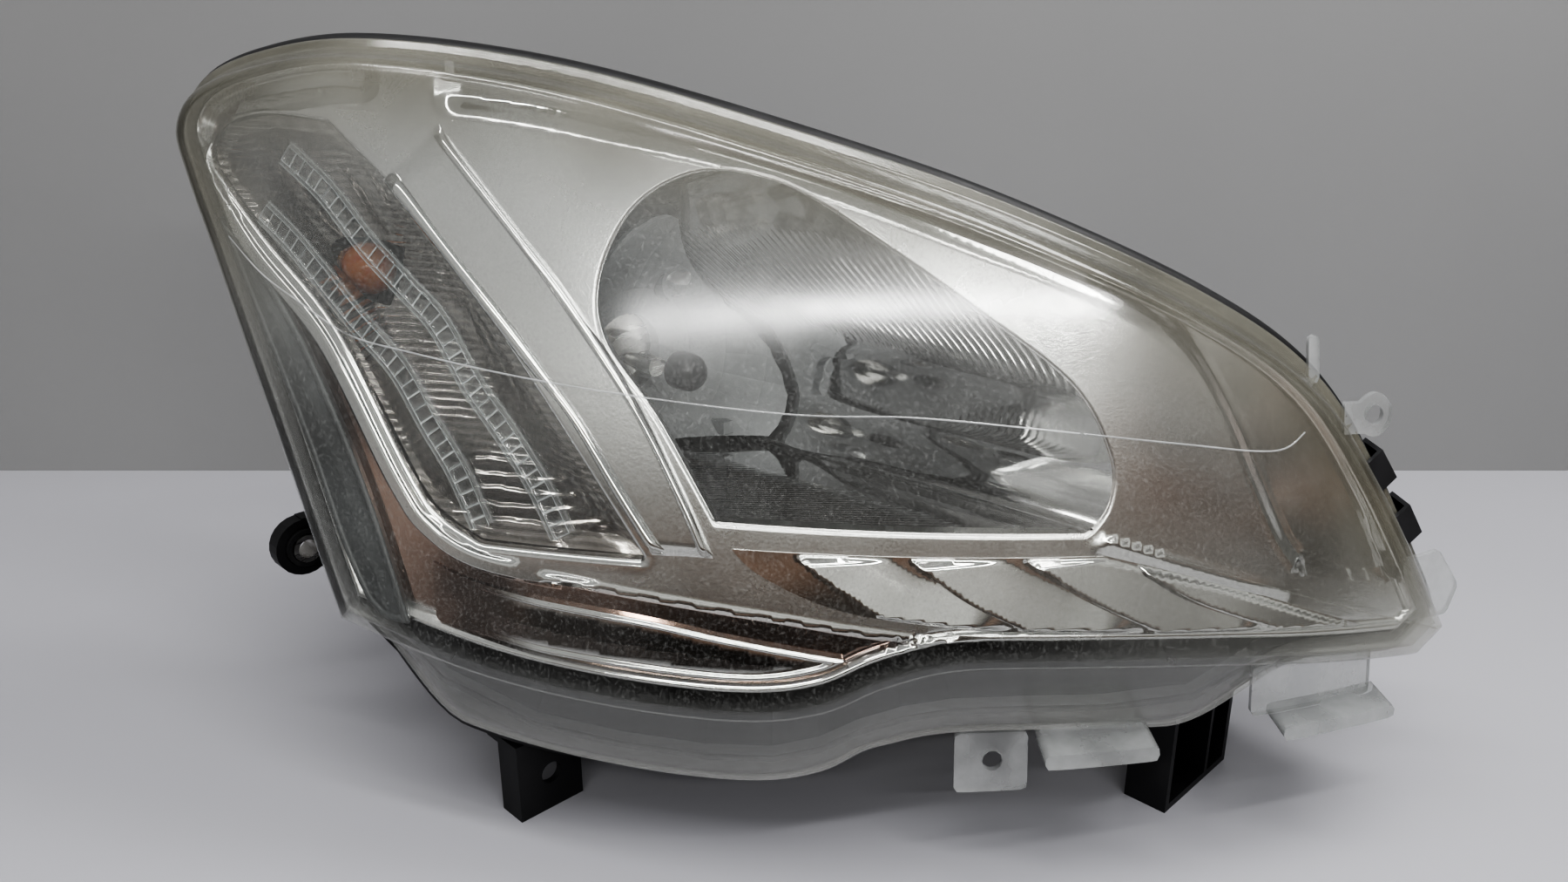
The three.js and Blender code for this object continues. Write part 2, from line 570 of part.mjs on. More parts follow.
/** Ribs and pads behind the bowl that carry the aiming sockets and the bulb's seat. */
function reflectorCarrier() {
  const [y0, y1] = [BALL_Y - 4, BALL_Y + 1];
  const pad = ([x, z]) => cylinder(12, y0, y1, x, z, 20);
  const sidelightBoss = cylinder(9.2, 414, y1, ...SIDELIGHT, 20);
  const upperRail = block([SIDEWAYS[0], PIVOT[0]], [y0, y1], [225, 239]);
  const sideRail = block([378, 392], [y0, y1], [LEVEL[1], PIVOT[1]]);
  const footRail = block([352, 392], [y0, y1], [122, 136]);
  const stem = (x, z) => block([x - 3, x + 3], [398, y1], [z - 3, z + 3]);
  const seat = cylinder(24, BULB_SEAT - 3, BULB_SEAT + 3, BULB_X, BULB_Z, 24);
  const seatRail = block([BULB_X + 22.5, 384], [BULB_SEAT, y1], [164, 176]);
  return [pad(PIVOT), pad(LEVEL), pad(SIDEWAYS), upperRail, sideRail, footRail, seat, seatRail, sidelightBoss,
    stem(290, 230), stem(360, 132), clipLug(-4), clipLug(4)];
}

/** A cup that clips over an aiming ball, with a cavity wider than the ball. */
function ballSocket([x, z], slack) {
  const body = cylinder(7.8, BALL_Y - 6.5, BALL_Y + 3.5, x, z, 20);
  return cut(body, ball(BALL_R + slack, x, BALL_Y, z), cylinder(BALL_R - 0.5 + slack, BALL_Y, BALL_Y + 10, x, z, 16));
}

/** A ball on a shaft that runs back through the rear wall. */
const ballRod = ([x, z], to) => joined(ball(BALL_R, x, BALL_Y, z), cylinder(2.9, BALL_Y, to, x, z, 16));

const pivotStud = () => joined(ballRod(PIVOT, REAR_WALL + 5), cylinder(7, REAR_WALL + GAP, REAR_WALL + 6, ...PIVOT, 6));

function headlampGlass() {
  const tip = BULB_SEAT - 55;
  return lathe([[0, tip], [4.5, tip + 1], [7.4, tip + 3.6], [8.5, tip + 8], [8.5, BULB_SEAT - 4], [0, BULB_SEAT - 4]],
    BULB_X, BULB_Z, 24);
}

function headlampBase() {
  const flange = cylinder(21.5, BULB_SEAT + 3 + GAP, BULB_SEAT + 4.8, BULB_X, BULB_Z, 28);
  const collar = cylinder(10.5, BULB_SEAT - 3.5, BULB_SEAT + 14, BULB_X, BULB_Z, 24);
  const blade = (dx, dz, w, h) => block([BULB_X + dx - w / 2, BULB_X + dx + w / 2], [BULB_SEAT + 10, BULB_SEAT + 24],
    [BULB_Z + dz - h / 2, BULB_Z + dz + h / 2]);
  return joined(flange, collar, blade(0, 7, 8, 0.9), blade(-7, -1, 0.9, 8), blade(7, -1, 0.9, 8));
}

const CLIP_HINGE_Z = BULB_Z - 29;
const CLIP_Y = BULB_SEAT + 7;
const CLIP_WIRE = 1.8;

/** The sprung wire that presses the bulb's flange: hinged below it, with two legs that hook above. */
function bulbClip() {
  const at = (dx, y, z) => [BULB_X + dx, y, z];
  return wire([
    at(-12, CLIP_Y + 2, BULB_Z + 27), at(-14, CLIP_Y, BULB_Z + 22), at(-16, CLIP_Y - 1, BULB_Z),
    at(-15, CLIP_Y, BULB_Z - 22), at(-12, CLIP_Y, CLIP_HINGE_Z), at(-6, CLIP_Y, CLIP_HINGE_Z),
    at(6, CLIP_Y, CLIP_HINGE_Z), at(12, CLIP_Y, CLIP_HINGE_Z), at(15, CLIP_Y, BULB_Z - 22), at(16, CLIP_Y - 1, BULB_Z),
    at(14, CLIP_Y, BULB_Z + 22), at(12, CLIP_Y + 2, BULB_Z + 27),
  ], CLIP_WIRE / 2, 34, 6);
}

/** A lug on the reflector that holds the clip's hinge bar. */
function clipLug(dx) {
  const x = [BULB_X + dx - 2, BULB_X + dx + 2];
  const bore = solid(new THREE.CylinderGeometry(CLIP_WIRE / 2 + 0.6, CLIP_WIRE / 2 + 0.6, 10, 10)
    .rotateZ(Math.PI / 2).translate(BULB_X + dx, CLIP_Y, CLIP_HINGE_Z));
  return cut(block(x, [BULB_SEAT, CLIP_Y + 3], [CLIP_HINGE_Z - 3, CLIP_HINGE_Z + 6]), bore);
}

function sidelightHolder() {
  const [x, z] = SIDELIGHT;
  return joined(cylinder(6.5, 418, BALL_Y + 2, x, z, 20), cylinder(7.8, BALL_Y + 1.5, BALL_Y + 5, x, z, 20),
    block([x - 6, x + 6], [BALL_Y + 3, BALL_Y + 12], [z - 2, z + 2]));
}

function sidelightBulb() {
  const [x, z] = SIDELIGHT;
  return lathe([[0, 400], [3.2, 401.2], [4.8, 405], [4.8, 412], [3.8, 417.6], [0, 417.6]], x, z, 16);
}

// ---------------------------------------------------------------- aiming gear

const MOTOR = { x: [368, 408], y: [REAR_WALL + GAP, 488], z: [86, 124] };

function levellingMotor() {
  const body = block(MOTOR.x, MOTOR.y, MOTOR.z);
  const collar = cylinder(11.8, REAR_WALL - 3.5, REAR_WALL + 5, ...LEVEL);
  const socket = block([376, 402], [466, 484], [68, 90]);
  return cut(joined(body, collar, socket), cylinder(3.4, 440, 482, ...LEVEL, 16),
    block([379, 399], [469, 481], [60, 84]), cylinder(3.4, 478, 500, ...LEVEL, 16));
}

const levellingKnob = () => joined(cylinder(9, 488 + GAP, 500, ...LEVEL, 6), cylinder(2.9, 484.5, 490, ...LEVEL, 12));
const sidewaysKnob = () => cut(cylinder(10, REAR_WALL + GAP, REAR_WALL + 17, ...SIDEWAYS, 12),
  cylinder(3.4, 440, REAR_WALL + 14, ...SIDEWAYS, 16));

// ---------------------------------------------------------------- rear cover, turn signal, fittings

const coverSeal = () => tubeAlongY(57.5, NECK_R + 0.5, REAR_WALL + GAP, REAR_WALL + 4.5, BULB_X, BULB_Z, 28);

function rearCover() {
  const from = REAR_WALL + 4.5 + GAP;
  const cap = cut(cylinder(COVER_R, from, COVER_BACK, BULB_X, BULB_Z, 28),
    cylinder(NECK_R + 0.5, from - 5, COVER_BACK - 3, BULB_X, BULB_Z, 28));
  return joined(cap, block([BULB_X - 42, BULB_X + 42], [COVER_BACK - 1, COVER_BACK + 11], [BULB_Z - 5, BULB_Z + 5]));
}

function signalBulb() {
  return lathe([[0, 487], [6, 489], [10.5, 494], [12, 501], [10.5, 508], [7, 514], [7, 517], [0, 517]],
    SIGNAL_X, SIGNAL_Z, 20);
}

const signalBase = () => cylinder(7.5, 517 + GAP, 536, SIGNAL_X, SIGNAL_Z, 20);
const signalSeal = () => tubeAlongY(20, 13.5, SIGNAL_SEAT + GAP, SIGNAL_SEAT + 2.8, SIGNAL_X, SIGNAL_Z);

function signalHolder() {
  const barrel = cylinder(12.8, 536 + GAP, SIGNAL_SEAT + 5, SIGNAL_X, SIGNAL_Z);
  const flange = cylinder(20, SIGNAL_SEAT + 3.1, SIGNAL_SEAT + 7, SIGNAL_X, SIGNAL_Z);
  const plug = block([SIGNAL_X - 8, SIGNAL_X + 8], [SIGNAL_SEAT + 5, SIGNAL_SEAT + 20], [SIGNAL_Z - 6, SIGNAL_Z + 6]);
  const pocket = block([SIGNAL_X - 5.5, SIGNAL_X + 5.5], [SIGNAL_SEAT + 10, SIGNAL_SEAT + 25], [SIGNAL_Z - 3.5, SIGNAL_Z + 3.5]);
  return cut(joined(barrel, flange, plug), pocket);
}

function mainConnector() {
  const [x, z] = CONNECTOR;
  const shroud = cut(block([x - 19, x + 19], [REAR_WALL + GAP, REAR_WALL + 24], [z - 9, z + 9]),
    block([x - 16.5, x + 16.5], [REAR_WALL + 5, REAR_WALL + 30], [z - 6.5, z + 6.5]));
  return joined(shroud, cylinder(10.6, REAR_WALL - 5, REAR_WALL + 2, x, z));
}

const ventCap = ([x, z]) => joined(cylinder(3.9, REAR_WALL - 6, REAR_WALL + 4, x, z, 16),
  cylinder(8, REAR_WALL + GAP, REAR_WALL + 11, x, z, 20));

/** A spring clip over the lens's lip and the housing's flange, part of the way between two points of the rim. */
function lensClip(index, share) {
  const normals = loopNormals(skirtEdge);
  const p = skirtEdge[index].clone().lerp(skirtEdge[index + 1], share);
  const n = normals[index].clone().lerp(normals[index + 1], share).normalize();
  const pad = (from, to, half) => [[from, -half], [to, -half], [to, half], [from, half]]
    .map(([out, along]) => new THREE.Vector2(p.x + n.x * out - n.y * along, p.y + n.y * out + n.x * along));
  const back = FLANGE_FRONT + FLANGE_THICK;
  return cut(faceSheet(pad(1.2, 9.5, 7), SKIRT - 2.8, back + 2.8, 10),
    faceSheet(pad(-6, 7.6, 9), SKIRT - 0.6, back + 0.6, 10));
}

// ---------------------------------------------------------------- assembly

addPiece(face, "lens_cover", lensCover(), "clear");
addPiece(face, "lens_seal", lensSeal(), "rubber");
addPiece(lamp, "housing_shell", housingShell(), "housing");
addPiece(face, "bezel_frame", bezelFrame(), "chrome");
addPiece(face, "outer_blade", trim(loop(OUTER_BLADE)), "charcoal");
addPiece(face, "lower_blade", trim(loop(LOWER_BLADE)), "chrome");
addPiece(face, "twin_bar_trim", twinBars(), "chrome");
addPiece(face, "flute_panel", trim(loop(FLUTE_PANEL)), "chrome");
addPiece(lamp, "turn_signal_reflector", signalReflector(), "chrome");
addPiece(face, "turn_signal_inner_lens", innerLens(), "clear");
addPiece(face, "ribbed_strip_outer", ribbedStrip(STRIP_OUTER), "clear");
addPiece(face, "ribbed_strip_inner", ribbedStrip(STRIP_INNER), "clear");

addPiece(lamp, "main_reflector", mainReflector(), "chrome");
addPiece(lamp, "headlamp_bulb_glass", headlampGlass(), "glass");
addPiece(lamp, "headlamp_bulb_base", headlampBase(), "steel");
addPiece(lamp, "bulb_clip", bulbClip(), "steel");
addPiece(lamp, "sidelight_holder", sidelightHolder(), "grey");
addPiece(lamp, "sidelight_bulb", sidelightBulb(), "glass");

addPiece(lamp, "pivot_stud", pivotStud(), "steel");
addPiece(lamp, "pivot_socket", ballSocket(PIVOT, 0.3), "grey");
addPiece(lamp, "levelling_socket", ballSocket(LEVEL, 0.9), "grey");
addPiece(lamp, "sideways_socket", ballSocket(SIDEWAYS, 0.9), "grey");
addPiece(lamp, "levelling_rod", ballRod(LEVEL, 472), "grey");
addPiece(lamp, "sideways_rod", ballRod(SIDEWAYS, 462), "grey");
addPiece(lamp, "levelling_motor", levellingMotor(), "plastic");
addPiece(lamp, "levelling_knob", levellingKnob(), "grey");
addPiece(lamp, "sideways_knob", sidewaysKnob(), "grey");

addPiece(lamp, "cover_seal", coverSeal(), "rubber");
addPiece(lamp, "rear_cover", rearCover(), "plastic");
addPiece(lamp, "turn_signal_bulb", signalBulb(), "amber");
addPiece(lamp, "turn_signal_bulb_base", signalBase(), "brass");
addPiece(lamp, "turn_signal_seal", signalSeal(), "rubber");
addPiece(lamp, "turn_signal_holder", signalHolder(), "grey");
addPiece(lamp, "main_connector", mainConnector(), "plastic");
VENTS.forEach((at, i) => addPiece(lamp, `vent_cap_${i + 1}`, ventCap(at), "rubber"));
[[24, 0.3], [25, 0]].forEach(([index, share], i) => addPiece(face, `lens_clip_${i + 1}`, lensClip(index, share), "plastic"));

addPiece(lamp, "box_bracket", openBox(BOX, BOX_TOP, 445), "housing");
addPiece(lamp, "lower_outer_bracket", outerBracket(), "housing");
addPiece(lamp, "rear_leg_bracket", openBox(LEG, LEG_TOP, 343), "housing");
BRACKET_SCREWS.forEach((at, i) => addPiece(lamp, `bracket_screw_${i + 1}`, bracketScrew(at), "steel"));
addPiece(lamp, "side_ear_grommet", tubeAlongY(9, 6.9, EAR.y[0] - 2, EAR.y[1] + 2, EAR.x, EAR.z), "rubber");
addPiece(lamp, "side_ear_sleeve", tubeAlongY(6.6, 4.4, EAR.y[0] - 3, EAR.y[1] + 3, EAR.x, EAR.z), "steel");

// The origin is under the middle of the whole lamp.
const bounds = new THREE.Box3().setFromObject(lamp, true);
const centre = bounds.getCenter(new THREE.Vector3());
lamp.position.set(-centre.x, -centre.y, 0);

export default lamp;
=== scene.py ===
"""Looks of the headlamp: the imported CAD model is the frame, and finer surfaces stand in front of it."""

import math

import bpy
import numpy as np
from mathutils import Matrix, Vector
from mathutils.geometry import delaunay_2d_cdt

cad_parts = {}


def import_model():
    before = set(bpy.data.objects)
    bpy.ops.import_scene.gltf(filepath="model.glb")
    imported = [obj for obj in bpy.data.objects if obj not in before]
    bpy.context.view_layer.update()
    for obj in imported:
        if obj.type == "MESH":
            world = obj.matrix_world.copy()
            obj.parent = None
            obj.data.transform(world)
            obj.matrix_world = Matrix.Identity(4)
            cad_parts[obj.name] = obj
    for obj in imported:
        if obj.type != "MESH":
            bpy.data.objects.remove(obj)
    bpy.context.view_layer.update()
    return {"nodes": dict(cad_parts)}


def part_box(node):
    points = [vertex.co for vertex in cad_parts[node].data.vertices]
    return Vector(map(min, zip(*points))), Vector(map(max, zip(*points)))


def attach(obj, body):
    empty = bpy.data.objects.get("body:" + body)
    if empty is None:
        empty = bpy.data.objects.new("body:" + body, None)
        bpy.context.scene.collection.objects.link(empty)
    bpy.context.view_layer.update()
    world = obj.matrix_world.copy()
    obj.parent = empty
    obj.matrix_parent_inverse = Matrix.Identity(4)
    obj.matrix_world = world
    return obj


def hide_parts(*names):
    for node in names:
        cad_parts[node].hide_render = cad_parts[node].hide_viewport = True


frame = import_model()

# ---------------------------------------------------------------- frame and dimensions (mm)

MM = 0.001
ROOT2 = math.sqrt(2)

LENS_RADIUS = 570
LENS_CENTRE_X = 38
LENS_FRONT = 378
RAKE_FROM = 90
RAKE = 0.22
RAKE_CURVE = 0.00063
LENS_WALL = 2.8
SKIRT = 20
LIP = 4
LIP_THICK = 2.6
CHIN = 26
BEZEL_DEPTH = 16
BEZEL_WALL = 2.6
INNER_LENS_DEPTH = 18.9
INNER_LENS_WALL = 2.2
TUNNEL_END = 411
BULB_X = 324
BULB_Z = 170
BULB_SEAT = 431
FOCAL = 25
SIGNAL_X = 238
SIGNAL_Z = 212
SIDELIGHT = (344.5, 202.5)

# Vehicle frame's zero in the row frame: the box bracket's corner stands at (409, 181, 0) in it.
VEHICLE_ZERO = np.array(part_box("box_bracket")[0]) - np.array([409, 181, 0]) * MM


def from_vehicle(points):
    """Points of the vehicle frame in mm, as row-frame metres."""
    return np.asarray(points, float) * MM + VEHICLE_ZERO


def from_face(points):
    """Points of the lens's face frame in mm, as row-frame metres."""
    p = np.asarray(points, float)
    x, y, z = p[..., 0], p[..., 1], p[..., 2]
    return from_vehicle(np.stack([(x + y) / ROOT2, (y - x) / ROOT2, z], -1))


def turn_to_vehicle(vectors):
    v = np.asarray(vectors, float)
    return np.stack([(v[..., 0] + v[..., 1]) / ROOT2, (v[..., 1] - v[..., 0]) / ROOT2, v[..., 2]], -1)


def lens_depth(x, z):
    """Depth of the lens's outer surface in the face frame."""
    above = z - RAKE_FROM
    wrap = LENS_RADIUS - np.sqrt(LENS_RADIUS**2 - (x - LENS_CENTRE_X) ** 2)
    return LENS_FRONT + wrap + RAKE * above + RAKE_CURVE * np.maximum(above, 0) ** 2


# ---------------------------------------------------------------- outlines in the face frame

LENS_EDGE = [
    (26, [(-179, 89), (-201, 143), (-220, 184), (-240, 223), (-258, 254), (-266, 272), (-257, 287),
          (-230, 297), (-186, 303), (-124, 299), (-58, 287), (32, 262), (95, 240), (162, 210),
          (207, 180), (238, 139), (270, 83)]),
    (1, [(270, 83), (256, 74)]),
    (15, [(256, 74), (210, 79), (165, 84), (110, 88), (66, 89), (38, 83), (14, 73), (-16, 69),
          (-66, 71), (-120, 77), (-179, 89)]),
]
SIGNAL_WINDOW = [
    (6, [(-190, 277), (-148, 244), (-120, 212), (-88, 171), (-53, 121)]),
    (2, [(-53, 121), (-120, 121)]),
    (8, [(-120, 121), (-138, 130), (-150, 144), (-184, 197), (-222, 230), (-250, 255)]),
    (4, [(-250, 255), (-253, 264), (-245, 274), (-222, 279), (-190, 277)]),
]
MAIN_OPENING = [
    (22, [(-26, 137), (-48, 174), (-69, 202), (-70, 226), (-56, 250), (-31, 262), (0, 258),
          (32, 240), (73, 213), (109, 186), (124, 160), (124, 143), (116, 132)]),
    (3, [(116, 132), (-26, 137)]),
]
OUTER_BLADE = [
    (5, [(-245, 236), (-218, 190), (-197, 150), (-182, 114), (-171, 93)]),
    (2, [(-171, 93), (-163, 87), (-151, 86)]),
    (6, [(-151, 86), (-170, 139), (-196, 187), (-222, 219), (-245, 236)]),
]
LOWER_BLADE = [
    (6, [(-141, 112), (-119, 106), (-56, 100), (-23, 95), (24, 88)]),
    (6, [(24, 88), (12, 83), (-12, 79), (-50, 80), (-106, 84), (-140, 89)]),
    (2, [(-140, 89), (-141, 112)]),
]
FLUTE_PANEL = [
    (4, [(-20, 128), (50, 126), (122, 124)]),
    (4, [(122, 124), (170, 110), (236, 84)]),
    (5, [(236, 84), (187, 89), (118, 95), (66, 99)]),
    (4, [(66, 99), (22, 106), (-8, 118), (-20, 128)]),
]
BAR_OUTER = [(-160, 258), (-140, 238), (-116, 213), (-96, 191), (-80, 173), (-62, 146), (-47, 124)]
BAR_INNER = [(-140, 276), (-105, 239), (-83, 214), (-57, 179), (-40, 148), (-29, 124)]
STRIP_OUTER = [(-222, 240), (-203, 227), (-176, 203), (-155, 185), (-141, 165), (-129, 148), (-119, 128)]
STRIP_INNER = [(-211, 264), (-190, 250), (-169, 230), (-152, 216), (-137, 203), (-123, 182),
               (-109, 165), (-96, 147), (-86, 128)]
# The raised chrome edge that frames the turn signal and runs on under the flutes.
EDGE_LINE = [(-247, 266), (-251, 253), (-227, 225), (-189, 192), (-156, 141), (-143, 126), (-122, 116),
             (-80, 111), (-43, 107), (0, 102), (27, 98), (66, 93), (118, 88), (187, 82), (250, 76)]
# Where the bezel's face ends and a cove leads back to its rim: round the main field, and over the turn signal.
FOLD = [(-142, 280), (-103, 276), (-67, 270), (-33, 264), (0, 256), (33, 246), (66, 234), (99, 222),
        (133, 207), (153, 192), (168, 170), (181, 143), (192, 121), (200, 110)]
SIGNAL_FOLD = [(-256, 250), (-253, 263), (-240, 272), (-193, 281), (-164, 281)]
# The crease that runs from the reflector's lower corner out to the fold.
SHELF = [(122, 131), (153, 120), (187, 108), (200, 104)]
# A seam of the lens's moulding, across its middle.
SEAM = [(-231, 232), (-213, 219), (-194, 210), (-171, 200), (-144, 196), (-84, 189), (0, 182), (47, 181),
        (95, 176), (145, 169), (177, 164), (190, 164), (198, 169)]
# Flutes of the panel under the reflector: each starts at its top and sweeps down to the right.
FLUTES = [
    [(-15, 130), (2, 128), (18, 117), (45, 101), (69, 97)],
    [(28, 130), (44, 128), (70, 110), (104, 94), (121, 92)],
    [(83, 129), (96, 122), (120, 107), (159, 89), (176, 87)],
    [(123, 127), (140, 117), (164, 103), (216, 83), (229, 81)],
]


def spline(points, steps):
    """Uniform Catmull-Rom curve through points, cut into steps."""
    p = np.asarray(points, float)
    n = len(p)
    t = np.linspace(0, n - 1, steps + 1)
    i = np.minimum(t.astype(int), n - 2)
    w = (t - i)[:, None]
    p0, p1, p2, p3 = p[np.maximum(i - 1, 0)], p[i], p[i + 1], p[np.minimum(i + 2, n - 1)]
    v0, v1 = (p2 - p0) / 2, (p3 - p1) / 2
    return (2 * p1 - 2 * p2 + v0 + v1) * w**3 + (-3 * p1 + 3 * p2 - 2 * v0 - v1) * w**2 + v0 * w + p1


def loop(stretches, finer=6):
    return np.concatenate([spline(points, steps * finer)[:-1] for steps, points in stretches])


def even(line, gap, closed=False):
    """The line's points moved to an even spacing near gap."""
    line = np.vstack([line, line[:1]]) if closed else np.asarray(line, float)
    along = np.concatenate([[0], np.cumsum(np.linalg.norm(np.diff(line, axis=0), axis=1))])
    count = max(int(round(along[-1] / gap)), 3)
    at = np.linspace(0, along[-1], count + 1)
    points = np.stack([np.interp(at, along, line[:, k]) for k in range(line.shape[1])], 1)
    return points[:-1] if closed else points


def signed_area(points):
    x, y = points[:, 0], points[:, 1]
    return float(np.sum(x * np.roll(y, -1) - np.roll(x, -1) * y) / 2)


def loop_normals(points):
    along = np.roll(points, -1, 0) - np.roll(points, 1, 0)
    along /= np.linalg.norm(along, axis=1)[:, None]
    along *= math.copysign(1, signed_area(points))
    return np.stack([along[:, 1], -along[:, 0]], 1)


def grown(points, distance):
    return points + loop_normals(points) * distance


def line_distance(points, line, closed=False):
    """Distance of each point to a line, the side it lies on and the length along the line."""
    line = np.vstack([line, line[:1]]) if closed else np.asarray(line, float)
    best = np.full(len(points), np.inf)
    side = np.zeros(len(points))
    along = np.zeros(len(points))
    travelled = 0.0
    for a, b in zip(line[:-1], line[1:]):
        ab = b - a
        length = np.hypot(*ab)
        t = np.clip(((points - a) @ ab) / max(length**2, 1e-9), 0, 1)
        away = points - a - t[:, None] * ab
        d = np.hypot(away[:, 0], away[:, 1])
        near = d < best
        best[near] = d[near]
        side[near] = np.sign(ab[0] * away[near, 1] - ab[1] * away[near, 0])
        along[near] = travelled + t[near] * length
        travelled += length
    return best, side, along


def inside(points, outline):
    x, y = points[:, 0], points[:, 1]
    hit = np.zeros(len(points), bool)
    for (x0, y0), (x1, y1) in zip(outline, np.roll(outline, -1, 0)):
        crosses = (y0 > y) != (y1 > y)
        hit ^= crosses & (x < (x1 - x0) * (y - y0) / (y1 - y0 + 1e-12) + x0)
    return hit


def smoothstep(low, high, value):
    t = np.clip((value - low) / (high - low), 0, 1)
    return t * t * (3 - 2 * t)


# ---------------------------------------------------------------- meshes

def facing_out(points, faces):
    """The same faces of a closed piece, turned so that they face out of it."""
    p = np.asarray(points, float)
    volume = 0.0
    for f in faces:
        a = p[f[0]]
        for b, c in zip(f[1:-1], f[2:]):
            volume += float(np.dot(a, np.cross(p[b], p[c])))
    return faces if volume > 0 else [tuple(f)[::-1] for f in faces]


def make(name, points, faces, material, body, replaces=(), slot=None, normals=None, colours=None, smooth=True):
    """A piece from row-frame points, riding on a body."""
    mesh = bpy.data.meshes.new(name)
    mesh.from_pydata([tuple(p) for p in points], [], [tuple(int(i) for i in f) for f in faces])
    mesh.validate()
    mesh.polygons.foreach_set("use_smooth", [smooth] * len(mesh.polygons))
    for key, values in (colours or {}).items():
        layer = mesh.attributes.new(key, "FLOAT", "POINT")
        layer.data.foreach_set("value", np.asarray(values, float))
    if normals is not None:
        mesh.normals_split_custom_set_from_vertices([tuple(n) for n in normals])
    obj = bpy.data.objects.new(name, mesh)
    bpy.context.scene.collection.objects.link(obj)
    for m in material if isinstance(material, (list, tuple)) else [material]:
        mesh.materials.append(m)
    if replaces:
        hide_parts(*replaces)
    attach(obj, body)
    return obj


def fill(outline, holes=(), cell=2.5, lines=()):
    """Triangles that fill an outline, with its holes and crease lines as edges."""
    loops = [even(outline, cell, True), *[even(h, cell, True) for h in holes]]
    creases = [even(line, cell) for line in lines]
    low, high = outline.min(0), outline.max(0)
    gx, gy = np.meshgrid(np.arange(low[0], high[0], cell), np.arange(low[1], high[1], cell * 0.87))
    gx[1::2] += cell / 2
    grid = np.stack([gx.ravel(), gy.ravel()], 1)
    keep = inside(grid, outline)
    for h in holes:
        keep &= ~inside(grid, h)
    grid = grid[keep]
    for line, closed in [(l, True) for l in loops] + [(c, False) for c in creases]:
        grid = grid[line_distance(grid, line, closed)[0] > cell * 0.6]
    points, edges, start = [], [], 0
    for line, closed in [(l, True) for l in loops] + [(c, False) for c in creases]:
        n = len(line)
        points.append(line)
        edges += [(start + i, start + i + 1) for i in range(n - 1)]
        if closed:
            edges.append((start + n - 1, start))
        start += n
    points = np.vstack([*points, grid])
    out = delaunay_2d_cdt([Vector(p) for p in points], edges, [], 0, 1e-4)
    verts = np.array([tuple(v) for v in out[0]])
    faces = np.array(out[2])
    middle = verts[faces].mean(1)
    keep = inside(middle, outline)
    for h in holes:
        keep &= ~inside(middle, h)
    return verts, faces[keep], loops


def field_normals(depth, xz, step=0.05):
    """Normals, in the row frame, of the surface y = depth(x, z), pointing out of the lamp."""
    dx = (depth(xz + [step, 0]) - depth(xz - [step, 0])) / (2 * step)
    dz = (depth(xz + [0, step]) - depth(xz - [0, step])) / (2 * step)
    n = np.stack([dx, -np.ones_like(dx), dz], 1)
    return turn_to_vehicle(n / np.linalg.norm(n, axis=1)[:, None])


def relief(name, outline, depth, material, body, back, holes=(), cell=2.5, lines=(), masks=None, **more):
    """A moulded sheet: its front follows depth(x, z), its back is a plain offset of the lens."""
    xz, faces, loops = fill(outline, holes, cell, lines)
    front = np.stack([xz[:, 0], depth(xz), xz[:, 1]], 1)
    normals = field_normals(depth, xz)
    points, all_normals = [front], [normals]
    n = len(front)
    faces = [tuple(f) if signed_area(xz[f]) > 0 else tuple(f[::-1]) for f in faces]
    out_faces = list(faces)
    start = n
    for k, edge in enumerate(loops):
        turn = loop_normals(edge) * (1 if k == 0 else -1)
        near = np.stack([edge[:, 0], depth(edge), edge[:, 1]], 1)
        far = np.stack([edge[:, 0], lens_depth(edge[:, 0], edge[:, 1]) + back, edge[:, 1]], 1)
        wall = turn_to_vehicle(np.stack([turn[:, 0], np.zeros(len(edge)), turn[:, 1]], 1))
        points += [near, far]
        all_normals += [wall, wall]
        m = len(edge)
        ahead = signed_area(edge) > 0
        for i in range(m):
            j = (i + 1) % m
            quad = (start + i, start + j, start + m + j, start + m + i)
            out_faces.append(quad[::-1] if ahead == (k == 0) else quad)
        start += 2 * m
    points = np.vstack(points)
    colours = {key: fn(points[:, [0, 2]]) for key, fn in (masks or {}).items()}
    return make(name, from_face(points), out_faces, material, body,
                normals=np.vstack(all_normals), colours=colours, **more)


def grid_faces(rows, columns, closed=False, flip=False):
    faces = []
    for r in range(rows - 1):
        for c in range(columns if closed else columns - 1):
            d = (c + 1) % columns
            quad = (r * columns + c, r * columns + d, (r + 1) * columns + d, (r + 1) * columns + c)
            faces.append(quad[::-1] if flip else quad)
    return faces


def turned_piece(name, profile, x, z, material, body, sides=64, **more):
    """A body of revolution about a line along Y, from (radius, y) points."""
    angle = np.linspace(0, 2 * math.pi, sides, endpoint=False)
    rows = [np.stack([x + r * np.cos(angle), np.full(sides, y), z + r * np.sin(angle)], 1) for r, y in profile]
    obj = make(name, from_vehicle(np.vstack(rows)), grid_faces(len(rows), sides, True), material, body, **more)
    sharpen(obj)
    return obj


def sharpen(obj, degrees=32):
    """Marks edges sharper than an angle, so that smooth shading stops at them."""
    mesh = obj.data
    mesh.set_sharp_from_angle(angle=math.radians(degrees))


# ---------------------------------------------------------------- materials

